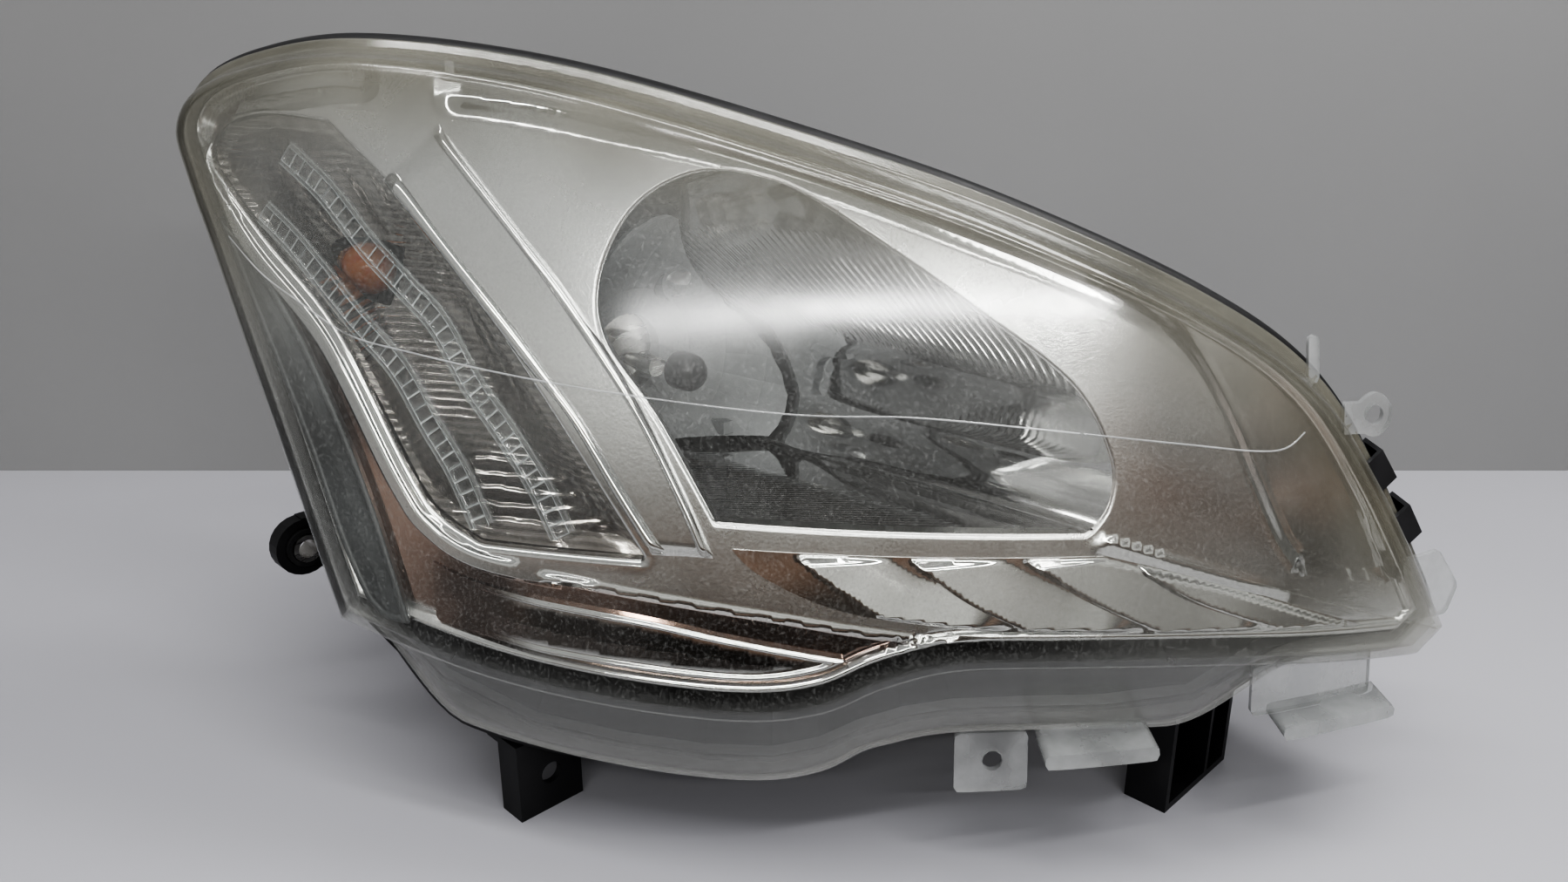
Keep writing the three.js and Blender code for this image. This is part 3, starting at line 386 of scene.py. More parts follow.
class Look:
    """A small builder for the nodes of a new material, or of a tree that is already there."""

    def __init__(self, name, tree=None):
        self.tree = tree
        if tree is None:
            self.material = bpy.data.materials.new(name)
            self.material.use_nodes = True
            self.tree = self.material.node_tree
            self.tree.nodes.clear()
            self.out = self.add("ShaderNodeOutputMaterial")

    def add(self, kind, settings=None, **inputs):
        node = self.tree.nodes.new(kind)
        for key, value in (settings or {}).items():
            setattr(node, key, value)
        for key, value in inputs.items():
            self.set(node, int(key[1:]) if key[0] == "_" and key[1:].isdigit() else key.replace("_", " "), value)
        return node

    def set(self, node, key, value):
        socket = node.inputs[key]
        if isinstance(value, bpy.types.NodeSocket):
            self.tree.links.new(value, socket)
        else:
            socket.default_value = value

    def coordinate(self, scale=(1, 1, 1), turn=0.0):
        """Object coordinates in metres, scaled, and turned about Z."""
        place = self.add("ShaderNodeTexCoord").outputs["Object"]
        return self.add("ShaderNodeMapping", Vector=place, Rotation=(0, 0, turn), Scale=scale).outputs[0]

    def noise(self, scale, detail=4.0, vector=None, roughness=0.5, distortion=0.0):
        node = self.add("ShaderNodeTexNoise", Vector=vector or self.coordinate(), Scale=scale, Detail=detail,
                        Roughness=roughness, Distortion=distortion)
        return node.outputs["Fac"]

    def ramp(self, value, first, *between, last):
        """A colour ramp; first and last are colours, and between holds (position, colour)."""
        node = self.add("ShaderNodeValToRGB", Fac=value)
        stops = node.color_ramp.elements
        stops[0].color, stops[1].color = (*first, 1), (*last, 1)
        for position, colour in between:
            stops.new(position).color = (*colour, 1)
        return node.outputs["Color"]

    def map(self, value, low, high, to_low, to_high):
        return self.add("ShaderNodeMapRange", Value=value, _1=low, _2=high, _3=to_low, _4=to_high).outputs[0]

    def math(self, operation, a, b=0.0, c=0.0, clamp=False):
        return self.add("ShaderNodeMath", {"operation": operation, "use_clamp": clamp}, _0=a, _1=b, _2=c).outputs[0]

    def blend(self, factor, a, b):
        node = self.add("ShaderNodeMix", {"data_type": "RGBA"}, _0=factor)
        for socket, value in ((6, a), (7, b)):
            self.set(node, socket, value if isinstance(value, bpy.types.NodeSocket) else (*value, 1))
        return node.outputs[2]

    def attribute(self, name):
        return self.add("ShaderNodeAttribute", {"attribute_name": name}).outputs["Fac"]

    def gloss_share(self, least):
        """How much a clear surface mirrors, from face on to edge on, the same on both of its sides."""
        facing = self.add("ShaderNodeLayerWeight", Blend=0.5).outputs["Facing"]
        steep = self.math("POWER", facing, 4.5)
        return self.map(steep, 0, 1, least, 0.8)

    def bump(self, height, strength=0.3, distance=0.001):
        return self.add("ShaderNodeBump", Height=height, Strength=strength, Distance=distance).outputs[0]

    def surface(self, shader):
        self.tree.links.new(shader, self.out.inputs["Surface"])
        return self.material

    def principled(self, **inputs):
        return self.add("ShaderNodeBsdfPrincipled", **inputs).outputs[0]

    def bands(self, direction, scale, vector, distortion=0.0, detail=0.0):
        """Fine parallel ribs."""
        kind = {"wave_type": "BANDS", "bands_direction": direction, "wave_profile": "SIN"}
        return self.add("ShaderNodeTexWave", kind, Vector=vector, Scale=scale, Distortion=distortion, Detail=detail)

    def see_through(self, share, tint, body, least=0.05, **gloss):
        """Clear stuff of which a share shows as body, under a gloss that grows edge on."""
        clear = self.add("ShaderNodeBsdfTransparent", Color=(*tint, 1)).outputs[0]
        mixed = self.add("ShaderNodeMixShader", _0=share, _1=clear, _2=body).outputs[0]
        shine = self.add("ShaderNodeBsdfGlossy", Color=(1, 1, 1, 1), **gloss).outputs[0]
        return self.surface(self.add("ShaderNodeMixShader", _0=self.gloss_share(least), _1=mixed, _2=shine).outputs[0])


def plastic(name, colour, rough, grain=2500.0, depth=0.25, dust=0.12):
    """Moulded plastic: fine spark-eroded grain, with dust and rubbed patches."""
    k = Look(name)
    patches = k.noise(28.0, 5.0)
    lighter = tuple(min(c * 2.2 + 0.035, 1) for c in colour)
    return k.surface(k.principled(
        Base_Color=k.blend(k.map(patches, 0.48, 0.75, 0, dust * 2), colour, lighter),
        Roughness=k.map(patches, 0.3, 0.7, rough - 0.1, rough + 0.12),
        Normal=k.bump(k.noise(grain, 2.0), depth, 0.0002)))


def metal(name, colour, rough=0.3):
    """Plated metal, with drawing marks and dull patches."""
    k = Look(name)
    lines = k.noise(1.0, 3.0, k.coordinate((60.0, 60.0, 900.0)))
    return k.surface(k.principled(
        Base_Color=k.blend(k.map(k.noise(90.0, 4.0), 0.4, 0.75, 0, 0.6), colour, tuple(c * 0.6 for c in colour)),
        Metallic=1.0, Roughness=k.map(lines, 0.3, 0.7, rough - 0.08, rough + 0.15), Normal=k.bump(lines, 0.12, 0.0002)))


def rubber(name):
    k = Look(name)
    bloom = k.noise(60.0, 5.0)
    return k.surface(k.principled(
        Base_Color=k.blend(k.map(bloom, 0.45, 0.8, 0, 0.5), (0.018, 0.018, 0.019), (0.06, 0.058, 0.055)),
        Roughness=k.map(bloom, 0.3, 0.8, 0.72, 0.92), Normal=k.bump(k.noise(1800.0, 2.0), 0.2, 0.0002)))


def chrome_bezel():
    """Vacuum-metallised plastic: attribute satin dulls it; a second attribute tints it copper, a painted reflection of
    the brown room, and a third darkens that copper, a painted dark reflection.
    """
    k = Look("bezel chrome")
    satin, painted_copper_reflection, painted_dark_reflection = k.attribute("satin"), k.attribute("painted_copper_reflection"), k.attribute("painted_dark_reflection")
    mist = k.noise(14.0, 6.0, roughness=0.6)
    speck = k.noise(900.0, 3.0)
    dust = k.map(speck, 0.6, 0.8, 0, 0.3)
    silver = k.blend(k.map(mist, 0.35, 0.7, 0, 0.5), (0.76, 0.765, 0.755), (0.6, 0.595, 0.58))
    # Painted reflection: copper tones, with brighter copper glints, standing in for the brown room mirrored in the
    # chrome.
    copper = k.blend(k.map(k.noise(11.0, 3.0), 0.42, 0.6, 0, 1), (0.19, 0.14, 0.125), (0.62, 0.43, 0.35))
    # Painted dark reflection: near-black copper where the chrome mirrors dark surroundings.
    smoked = k.blend(k.map(k.noise(30.0, 5.0), 0.4, 0.7, 0, 1), (0.05, 0.042, 0.038), (0.13, 0.11, 0.095))
    copper = k.blend(painted_dark_reflection, copper, smoked)
    base = k.blend(dust, k.blend(painted_copper_reflection, silver, copper), (0.3, 0.3, 0.29))
    bright = k.map(mist, 0.3, 0.7, 0.045, 0.1)
    dull = k.map(mist, 0.3, 0.7, 0.22, 0.32)
    rough = k.math("ADD", k.math("MULTIPLY", satin, dull), k.math("MULTIPLY", k.math("SUBTRACT", 1.0, satin), bright))
    grain = k.bump(speck, k.math("MULTIPLY_ADD", satin, 0.5, 0.05), 0.0001)
    return k.surface(k.principled(Base_Color=base, Metallic=1.0, Roughness=rough, Normal=grain))


def chrome_reflector():
    """Mirror-bright reflector; attribute flute brings out fine slanting ribs, bumped and with painted shade in stripes
    along them.
    """
    k = Look("fluted reflector chrome")
    mist = k.noise(22.0, 5.0)
    base = k.blend(k.map(mist, 0.35, 0.75, 0, 0.7), (0.9, 0.9, 0.9), (0.648, 0.648, 0.648))
    ribs = k.bands("DIAGONAL", 150.0, k.coordinate((1, 1, 0.5)))
    height = k.math("MULTIPLY", ribs.outputs["Fac"], k.attribute("flute"))
    # Painted shade: the ribs darken the base colour in stripes, standing in for shade in their grooves.
    return k.surface(k.principled(
        Base_Color=k.blend(k.math("MULTIPLY", height, 0.75), base, (0.3, 0.29, 0.28)), Metallic=0.94,
        Roughness=k.map(mist, 0.3, 0.7, 0.03, 0.1), Normal=k.bump(height, 0.7, 0.0012)))


def ribbed_chrome():
    """Dark-toned chrome of the turn signal's chamber, with fine level ribs whose stripes are painted darker as shade.
    """
    k = Look("turn signal chrome")
    mist = k.noise(22.0, 5.0)
    base = k.blend(k.map(mist, 0.35, 0.75, 0, 0.8), (0.64, 0.61, 0.59), (0.34, 0.32, 0.305))
    level = k.bands("Z", 98.0, k.coordinate(), 1.2, 1.0)
    slanting = k.bands("DIAGONAL", 70.0, k.coordinate((1, 1, -1)), 0.8, 1.0)
    height = k.blend(k.map(k.noise(11.0, 1.0), 0.47, 0.53, 0, 1), level.outputs["Color"], slanting.outputs["Color"])
    # Painted shade: the level ribs darken the base colour in stripes.
    return k.surface(k.principled(
        Base_Color=k.blend(k.map(level.outputs["Fac"], 0.3, 0.9, 0, 0.6), base, (0.2, 0.185, 0.175)), Metallic=0.95,
        Roughness=k.map(mist, 0.3, 0.7, 0.06, 0.16), Normal=k.bump(height, 0.6, 0.0014)))


def hazed_lens():
    """Aged clear polycarbonate: haze and fine scratches, denser and yellower towards the upper rim."""
    k = Look("weathered clear lens")
    rim, top, dark = k.attribute("rim"), k.attribute("top"), k.attribute("dark")
    cloud = k.noise(7.0, 6.0, roughness=0.62)
    pits = k.noise(760.0, 3.0)
    hair = k.noise(1.0, 2.0, k.coordinate((520.0, 520.0, 26.0), 0.6))
    haze = k.math("ADD", k.map(cloud, 0.35, 0.75, 0.01, 0.06), k.math("MULTIPLY", rim, 0.3))
    haze = k.math("ADD", haze, k.math("MULTIPLY", top, k.map(k.noise(16.0, 5.0), 0.35, 0.65, 0.14, 0.32)))
    haze = k.math("ADD", haze, k.map(hair, 0.68, 0.74, 0, 0.05))
    haze = k.math("ADD", haze, k.map(pits, 0.52, 0.72, 0, 0.11), clamp=True)
    haze = k.math("MAXIMUM", haze, k.math("MULTIPLY", dark, 0.93))
    tint = k.blend(top, k.blend(rim, (0.52, 0.53, 0.52), (0.42, 0.42, 0.41)), (0.25, 0.24, 0.195))
    tint = k.blend(dark, tint, (0.012, 0.012, 0.012))
    rough = k.map(cloud, 0.35, 0.75, 0.1, 0.2)
    body = k.principled(Base_Color=tint, Roughness=k.math("ADD", rough, 0.2))
    return k.see_through(haze, (0.965, 0.967, 0.958), body, 0.035, Roughness=rough, Normal=k.bump(pits, 0.02, 0.0001))


def clear_plastic(name, tint, haze, rough):
    """Clear or smoked inner plastic."""
    k = Look(name)
    cloud = k.noise(40.0, 5.0)
    body = k.principled(Base_Color=(0.55, 0.56, 0.56, 1), Roughness=k.map(cloud, 0.3, 0.7, rough, rough + 0.1))
    return k.see_through(k.map(cloud, 0.3, 0.75, haze * 0.6, haze * 1.5), tint, body, Roughness=rough)


def ladder_plastic():
    """Clear strip whose rails and rungs, marked by attribute line, catch the light as a painted highlight: paler and
    more opaque there.
    """
    k = Look("ribbed clear plastic")
    cloud = k.noise(300.0, 3.0)
    painted_highlight = k.attribute("line")
    share = k.math("ADD", k.math("MULTIPLY", painted_highlight, 0.6), k.map(cloud, 0.3, 0.75, 0.03, 0.1))
    body = k.principled(Base_Color=(0.78, 0.82, 0.83, 1), Roughness=k.map(cloud, 0.3, 0.7, 0.12, 0.22), Metallic=0.45)
    return k.see_through(share, (0.9, 0.92, 0.93), body, Roughness=0.08)


def amber_glass():
    k = Look("amber glass")
    cloud = k.noise(150.0, 3.0)
    body = k.principled(Base_Color=k.blend(k.map(cloud, 0.35, 0.65, 0, 1), (0.95, 0.3, 0.02), (0.75, 0.16, 0.01)),
                        Roughness=k.map(cloud, 0.3, 0.7, 0.1, 0.2))
    return k.see_through(k.map(cloud, 0.3, 0.7, 0.5, 0.7), (0.98, 0.38, 0.05), body, 0.06, Roughness=0.06)


CHROME = chrome_bezel()
LENS = hazed_lens()
REFLECTOR = chrome_reflector()
TROUGH = ribbed_chrome()
SMOKED = clear_plastic("smoked inner lens", (0.78, 0.78, 0.77), 0.03, 0.06)
RIBBED = ladder_plastic()
GLASS = clear_plastic("quartz glass", (0.97, 0.98, 0.98), 0.04, 0.03)
AMBER = amber_glass()
BLACK_CAP = plastic("black bulb cap", (0.012, 0.012, 0.013), 0.35, 1500.0, 0.1, 0.05)
BLACK = plastic("black housing plastic", (0.016, 0.016, 0.017), 0.48)
FITTING = plastic("black fitting plastic", (0.022, 0.022, 0.024), 0.42, 3200.0, 0.18)
GREY = plastic("grey nylon", (0.3, 0.31, 0.32), 0.45, 3000.0, 0.15)
CHARCOAL = plastic("charcoal satin plastic", (0.06, 0.064, 0.066), 0.36, 3600.0, 0.12, 0.2)
RUBBER = rubber("soft rubber")
STEEL = metal("plated steel", (0.56, 0.55, 0.53))
BRASS = metal("bulb brass", (0.72, 0.55, 0.27), 0.25)

# ---------------------------------------------------------------- lens

lens_edge = even(loop(LENS_EDGE, 8), 4.2, True)
lens_turn = loop_normals(lens_edge)
under = np.maximum(0, -lens_turn[:, 1])
chin = CHIN * smoothstep(-172, -128, lens_edge[:, 0]) * (1 - smoothstep(150, 215, lens_edge[:, 0])) * under
skirt_edge = lens_edge + lens_turn * 2.5 - np.stack([np.zeros(len(chin)), chin], 1)


def lens_cover():
    middle = np.array([-10, 185])
    fillet = 5.0
    rows = []

    def ring(points, depth, rim=0.0):
        y = lens_depth(points[:, 0], points[:, 1]) + depth
        rows.append((np.stack([points[:, 0], y, points[:, 1]], 1), rim))

    def between(a, b, t, depth, rim):
        ring(a + (b - a) * t, depth, rim)

    shrunk = lens_edge - lens_turn * fillet
    for f in np.linspace(0.03, 1, 34):
        ring(middle + (shrunk - middle) * f, 0, smoothstep(0.95, 1, f) * 0.2)
    for a in np.linspace(15, 90, 6):
        inset = fillet * (1 - math.sin(math.radians(a)))
        ring(lens_edge - lens_turn * inset, fillet * (1 - math.cos(math.radians(a))), 0.2 + 0.35 * a / 90)
    for t in np.linspace(0.15, 1, 7):
        between(lens_edge, skirt_edge, t, fillet + (SKIRT - 1.2 - fillet) * t, 0.4 + 0.5 * t * t)
    ring(skirt_edge + loop_normals(skirt_edge) * 1.2, SKIRT, 0.7)
    lip = skirt_edge + loop_normals(skirt_edge) * LIP
    ring(lip - loop_normals(skirt_edge) * 0.4, SKIRT, 0.8)
    ring(lip, SKIRT + 0.4, 0.8)
    ring(lip, SKIRT + LIP_THICK, 0.8)
    inner_skirt = skirt_edge - loop_normals(skirt_edge) * LENS_WALL
    ring(inner_skirt, SKIRT + LIP_THICK, 0.7)
    inner = lens_edge - lens_turn * LENS_WALL
    for t in np.linspace(0.8, 0, 5):
        between(inner, inner_skirt, t, LENS_WALL + 2 + (SKIRT + LIP_THICK - LENS_WALL - 2) * t, 0.4)
    for f in np.linspace(0.985, 0.03, 26):
        ring(middle + (inner - middle) * f, LENS_WALL, smoothstep(0.93, 1, f) * 0.2)
    points = np.vstack([r[0] for r in rows])
    n = len(lens_edge)
    faces = grid_faces(len(rows), n, True, flip=True)
    faces.append(tuple(range(n)))
    faces.append(tuple(range((len(rows) - 1) * n, len(rows) * n))[::-1])
    rim = np.repeat([float(r[1]) for r in rows], n) * np.tile(0.3 + 0.7 * smoothstep(0.1, 0.7, under), len(rows))
    corner = np.repeat([float(39 <= i <= 43) for i in range(len(rows))], n)
    dark = corner * np.tile(
        smoothstep(-0.35, -0.75, lens_turn[:, 0] - 0.35 * np.maximum(lens_turn[:, 1], 0)), len(rows))
    edge = line_distance(points[:, [0, 2]], lens_edge, True)[0]
    top = smoothstep(150, 262, points[:, 2] + 0.42 * np.maximum(points[:, 0] + 60, 0)) * smoothstep(62, 0, edge)
    placed = from_face(points)
    obj = make("weathered_lens", placed, facing_out(placed, faces), LENS, "lamp_body", slot="lens_clear",
               colours={"rim": rim, "top": top, "dark": dark})
    sharpen(obj, 40)
    return obj


def lens_tabs():
    """Clear tabs on the lens's lip, each a rounded plate that follows the lens's curve."""
    clear = clear_plastic("frosted clear tab", (0.7, 0.71, 0.7), 0.34, 0.25)

    def rounded(points, radius=2.0):
        p = np.asarray(points, float)
        out = []
        for a, b, c in zip(np.roll(p, 1, 0), p, np.roll(p, -1, 0)):
            u, v = (a - b) / np.linalg.norm(a - b), (c - b) / np.linalg.norm(c - b)
            r = min(radius, np.linalg.norm(a - b) / 2.2, np.linalg.norm(c - b) / 2.2)
            for t in np.linspace(0, 1, 5):
                s, e = b + u * r, b + v * r
                out.append((1 - t) ** 2 * s + 2 * t * (1 - t) * b + t * t * e)
        return np.array(out)

    def rect(x0, x1, z0, z1):
        return [(x0, z0), (x1, z0), (x1, z1), (x0, z1)]

    def circle(x, z, r, count=28):
        a = np.linspace(0, 2 * math.pi, count, endpoint=False)
        return np.stack([x + r * np.cos(a), z + r * np.sin(a)], 1)

    ring = np.array([(226, 159), *circle(241, 165, 8.5)[18:], *circle(241, 165, 8.5)[:12], (226, 171)])
    plates = [
        ("lens_shelf_inner", rect(98, 143, 51, 56.5), 2, ()),
        ("lens_shelf_outer", rect(196, 248, 50, 55), 4, ()),
        ("lens_shelf_web", rect(188, 244, 52, 72), SKIRT, ()),
        ("lens_screw_tab", rect(66, 95, 33, 56), SKIRT, (circle(81, 45, 4),)),
        ("lens_side_fin", [(258, 104), (278, 105), (290, 88), (284, 77), (262, 78)], SKIRT, ()),
        ("lens_peg", rect(209, 214, 180, 198), SKIRT, ()),
        ("lens_ring_tab", ring, SKIRT, (circle(241, 165, 4.1),)),
    ]
    for name, outline, front, holes in plates:
        depth = lambda xz, front=front: lens_depth(xz[:, 0], xz[:, 1]) + front
        shape = outline if name == "lens_ring_tab" else rounded(outline)
        relief(name, np.asarray(shape), depth, clear, "lamp_body", SKIRT + LIP_THICK, holes=holes, cell=2.5,
               slot="lens_clear")


def seam_line():
    """The moulding seam across the lens's face: a hair-fine ridge."""
    line = even(spline(SEAM, 150), 2.5)
    along = np.gradient(line, axis=0)
    along /= np.linalg.norm(along, axis=1)[:, None]
    across = np.stack([-along[:, 1], along[:, 0]], 1)
    rows = []
    for offset, lift in ((-0.34, -0.03), (-0.17, 0.1), (0, 0.17), (0.17, 0.1), (0.34, -0.03)):
        p = line + across * offset
        rows.append(np.stack([p[:, 0], lens_depth(p[:, 0], p[:, 1]) - lift, p[:, 1]], 1))
    make("lens_seam", from_face(np.vstack(rows)), grid_faces(5, len(line)), clear_plastic(
        "seam ridge", (0.8, 0.81, 0.8), 0.45, 0.1), "lamp_body", slot="lens_clear")


seam_line()
cover = lens_cover()
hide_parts("lens_cover")
lens_tabs()

# ---------------------------------------------------------------- bezel

edge_line = spline(EDGE_LINE, 160)
main_opening = even(loop(MAIN_OPENING), 3, True)
signal_window = even(loop(SIGNAL_WINDOW), 3, True)
bezel_edge = grown(even(loop(LENS_EDGE), 3, True), -3.5)
OPENING_FILLET = 1.8
WINDOW_FILLET = 2.2


def roll(distance, radius):
    """How far a rounded edge has turned back at a distance from it."""
    d = np.clip(distance, 0, radius)
    return radius - np.sqrt(np.maximum(radius**2 - (radius - d) ** 2, 0))


fold = spline(FOLD, 120)
signal_fold = spline(SIGNAL_FOLD, 60)
shelf = spline(SHELF, 30)


def beyond(xz, line, far):
    """Distance past a line, on the side where the far points are, and zero elsewhere."""
    side = inside(xz, np.vstack([line, far]))
    return np.where(side, line_distance(xz, line)[0], 0)


def past_fold(xz):
    return np.maximum(beyond(xz, fold, [(300, 90), (300, 340), (-142, 340)]),
                      beyond(xz, signal_fold, [(-164, 340), (-320, 340), (-320, 250)]))


def closed(outline):
    return np.vstack([outline, outline[:1]])


def parallel(line, offset):
    along = np.gradient(line, axis=0)
    along /= np.linalg.norm(along, axis=1)[:, None]
    return line + np.stack([-along[:, 1], along[:, 0]], 1) * offset


def bead_half(x):
    """Half the raised edge's width: broad beside the turn signal, narrow under the flutes."""
    return 1.5 + 2.7 * (1 - smoothstep(-125, -70, x))


def bezel_depth(xz):
    opening = line_distance(xz, main_opening, True)[0]
    window = line_distance(xz, signal_window, True)[0]
    edge, side, _ = line_distance(xz, edge_line)
    rim = line_distance(xz, bezel_edge, True)[0]
    low = smoothstep(-150, -130, xz[:, 0]) * smoothstep(130, 112, xz[:, 1])
    half = bead_half(xz[:, 0])
    bead = (0.9 + 0.55 * half) * smoothstep(1.0, 0.55, edge / half)
    sunk = 2.2 * smoothstep(0, 1.2, edge - half) * (side < 0) * smoothstep(0, 5, rim)
    shelf_away, shelf_side, _ = line_distance(xz, shelf)
    ledge = 2.4 * np.where(shelf_side < 0, smoothstep(8, 0, shelf_away), smoothstep(1.3, 0, shelf_away))
    ledge *= smoothstep(2, 8, opening) * smoothstep(206, 178, xz[:, 0])
    ends = smoothstep(10.5, 24, np.abs(xz[:, 0] + 153))
    cove = 6.5 * smoothstep(0, 11, past_fold(xz)) * smoothstep(0, 3, rim) * ends
    groove = 1.8 * smoothstep(1.3, 0.5, np.abs(rim - 5.2)) * low
    depth = lens_depth(xz[:, 0], xz[:, 1]) + BEZEL_DEPTH
    depth += roll(opening, OPENING_FILLET) + roll(window, WINDOW_FILLET) + roll(rim, 2.2)
    return depth + sunk + cove + groove - ledge - bead * smoothstep(0, 4, rim) * smoothstep(0.5, 2.5, window)


def satin_mask(xz):
    edge, side, _ = line_distance(xz, edge_line)
    upper = smoothstep(0, 2, np.where(side > 0, edge, -edge) - bead_half(xz[:, 0]))
    window = line_distance(xz, signal_window, True)[0]
    shelf_away, shelf_side, _ = line_distance(xz, shelf)
    shelf_over = np.where(shelf_side > 0, shelf_away, 0)
    under_shelf = (xz[:, 0] > 122) & (xz[:, 0] < 204) & (shelf_over < 0.6)
    border = smoothstep(9, 7, line_distance(xz, bezel_edge, True)[0]) * smoothstep(-110, -140, xz[:, 0])
    right = smoothstep(110, 150, xz[:, 0])
    inner = (upper * (1 - 0.35 * right) * smoothstep(2, 6, window) * (1 - smoothstep(0, 4, past_fold(xz)))
             * np.where(under_shelf, 0.25, 1))
    return np.maximum(inner, border)


# Where the chrome is tinted copper as a painted reflection: below the raised edge, and faintly over the right field as
# a painted warm reflection streak.
def painted_copper_reflection_mask(xz):
    edge, side, _ = line_distance(xz, edge_line)
    rim = line_distance(xz, bezel_edge, True)[0]
    lower = smoothstep(0, 1.5, np.where(side < 0, edge, 0) - bead_half(xz[:, 0]) * 0.7)
    lower *= np.where(xz[:, 0] < -120, smoothstep(7, 9, rim), smoothstep(3.6, 4.4, rim))
    right = smoothstep(95, 150, xz[:, 0]) * smoothstep(128, 150, xz[:, 1]) * smoothstep(235, 185, xz[:, 1]) * 0.38
    return np.maximum(lower, right)


def opening_in_vehicle(margin, depth):
    """The main opening's outline drawn back to a plane of constant vehicle depth."""
    y = lens_depth(main_opening[:, 0], main_opening[:, 1]) + BEZEL_DEPTH
    seen = np.stack([(main_opening[:, 0] + y) / ROOT2, main_opening[:, 1]], 1)
    low, high = seen.min(0), seen.max(0)
    to_low, to_high = np.array([259, 122]) - margin, np.array([392, 246]) + margin
    flat = to_low + (seen - low) / (high - low) * (to_high - to_low)
    return np.stack([flat[:, 0], np.full(len(flat), depth), flat[:, 1]], 1)


def tunnel():
    """The wall from the bezel's opening back round the reflector."""
    y = lens_depth(main_opening[:, 0], main_opening[:, 1]) + BEZEL_DEPTH + OPENING_FILLET
    front = from_face(np.stack([main_opening[:, 0], y, main_opening[:, 1]], 1))
    back = from_vehicle(opening_in_vehicle(0, TUNNEL_END))
    rows = [front + (back - front) * t for t in np.linspace(0, 1, 40)]
    n = len(main_opening)
    points = np.vstack(rows)
    x, y, z = ((points - VEHICLE_ZERO) / MM).T
    # flute: where the reflector material's ribs, and their painted shade, show.
    flute = smoothstep(BULB_Z + 12, BULB_Z + 26, z) * smoothstep(BULB_X + 8, BULB_X + 30, x)
    flute = np.maximum(flute, smoothstep(BULB_Z - 30, BULB_Z - 42, z) * smoothstep(BULB_X + 22, BULB_X, x))
    make("bezel_tunnel", points, grid_faces(len(rows), n, True), REFLECTOR, "lamp_body", slot="bezel_chrome",
         colours={"flute": flute})


creases = [parallel(edge_line, o)[6:-4] for o in (-5.4, -3.3, -1.5, 1.5, 3.3)]
creases += [fold, signal_fold[6:-6], shelf[8:]]
creases += [closed(grown(main_opening, o)) for o in (0.3, 0.9, OPENING_FILLET)]
creases += [closed(grown(signal_window, o)) for o in (0.4, 1.1, WINDOW_FILLET)]
creases += [closed(grown(bezel_edge, -o)) for o in (0.6, 2.2, 4.0, 4.7, 5.7, 6.5)]
creases.append(parallel(shelf, 1.3)[8:])
relief("chrome_bezel", bezel_edge, bezel_depth, CHROME, "lamp_body", BEZEL_DEPTH + BEZEL_WALL + 5,
       holes=(main_opening, signal_window), cell=1.9, lines=creases, slot="bezel_chrome",
       replaces=("bezel_frame",), masks={"satin": satin_mask, "painted_copper_reflection": painted_copper_reflection_mask})
tunnel()


def twin_bars():
    """Two round ridges with a flat satin band between, swept from the top down to the flutes."""
    stations = 90
    a, b = spline(BAR_OUTER, stations), spline(BAR_INNER, stations)
    across = (b - a) / np.linalg.norm(b - a, axis=1)[:, None]
    a2, b2 = a - across * 3.5, b + across * 2.5
    angle = np.linspace(0, math.pi, 11)
    rows, satin = [], []
    taper = smoothstep(0, 0.06, np.linspace(0, 1, stations + 1)) * smoothstep(1, 0.94, np.linspace(0, 1, stations + 1))
    profile = [(0, 3.5 * (1 - math.cos(t)), 4.8 * math.sin(t)) for t in angle]
    profile += [(1, -2.5 * (1 + math.cos(t)), 4.8 * math.sin(t)) for t in angle]
    for k, (end, offset, height) in enumerate(profile):
        base = (a2 if end == 0 else b2) + across * offset
        lift = np.maximum(height, 2.0 if 8 < k < 13 else 0.0) * taper
        rows.append(np.stack([base[:, 0], lens_depth(base[:, 0], base[:, 1]) + BEZEL_DEPTH - lift, base[:, 1]], 1))
        satin.append(np.full(stations + 1, 0.85 if 9 < k < 12 else 0.0))
    count = len(rows)
    obj = make("twin_bars", from_face(np.vstack(rows)), grid_faces(count, stations + 1), CHROME, "lamp_body",
               slot="bezel_chrome", replaces=("twin_bar_trim",),
               colours={"satin": np.concatenate(satin), "painted_copper_reflection": np.zeros(count * (stations + 1))})
    sharpen(obj, 45)


def trim_blade(name, stretches, material, node, dome, rim_width, fade=0.0, **more):
    """A blade with a rounded rim; fade leaves the rim out over that length from its left end."""
    outline = even(loop(stretches), 2, True)
    start = outline[:, 0].min()

    def depth(xz):
        d = line_distance(xz, outline, True)[0]
        shown = smoothstep(0.3, 1, (xz[:, 0] - start) / fade) if fade else 1.0
        rim = 1.6 * np.sqrt(np.clip(1 - ((d - rim_width) / rim_width) ** 2, 0, 1)) * shown
        return (lens_depth(xz[:, 0], xz[:, 1]) + BEZEL_DEPTH + 0.6 - 1.8 * shown - rim
                - dome * smoothstep(0, 14, d) * shown)

    if fade:
        # The blade's colour is painted reflection: copper near the rim at its left end, turning to a painted dark
        # reflection towards the right.
        more["masks"] = {
            "satin": lambda xz: np.zeros(len(xz)),
            "painted_copper_reflection": lambda xz: np.where(line_distance(xz, outline, True)[0] < 2.2 * rim_width,
                                        1 - smoothstep(0.5, 1, (xz[:, 0] - start) / fade), 1.0),
            "painted_dark_reflection": lambda xz: smoothstep(0.1, 1, (xz[:, 0] - start) / fade)}
    rims = [closed(grown(outline, -rim_width * t)) for t in (0.3, 0.75, 1.25, 1.7, 2.1)]
    return relief(name, outline, depth, material, "lamp_body", BEZEL_DEPTH + 3, cell=1.8, lines=rims, replaces=(node,),
                  **more)


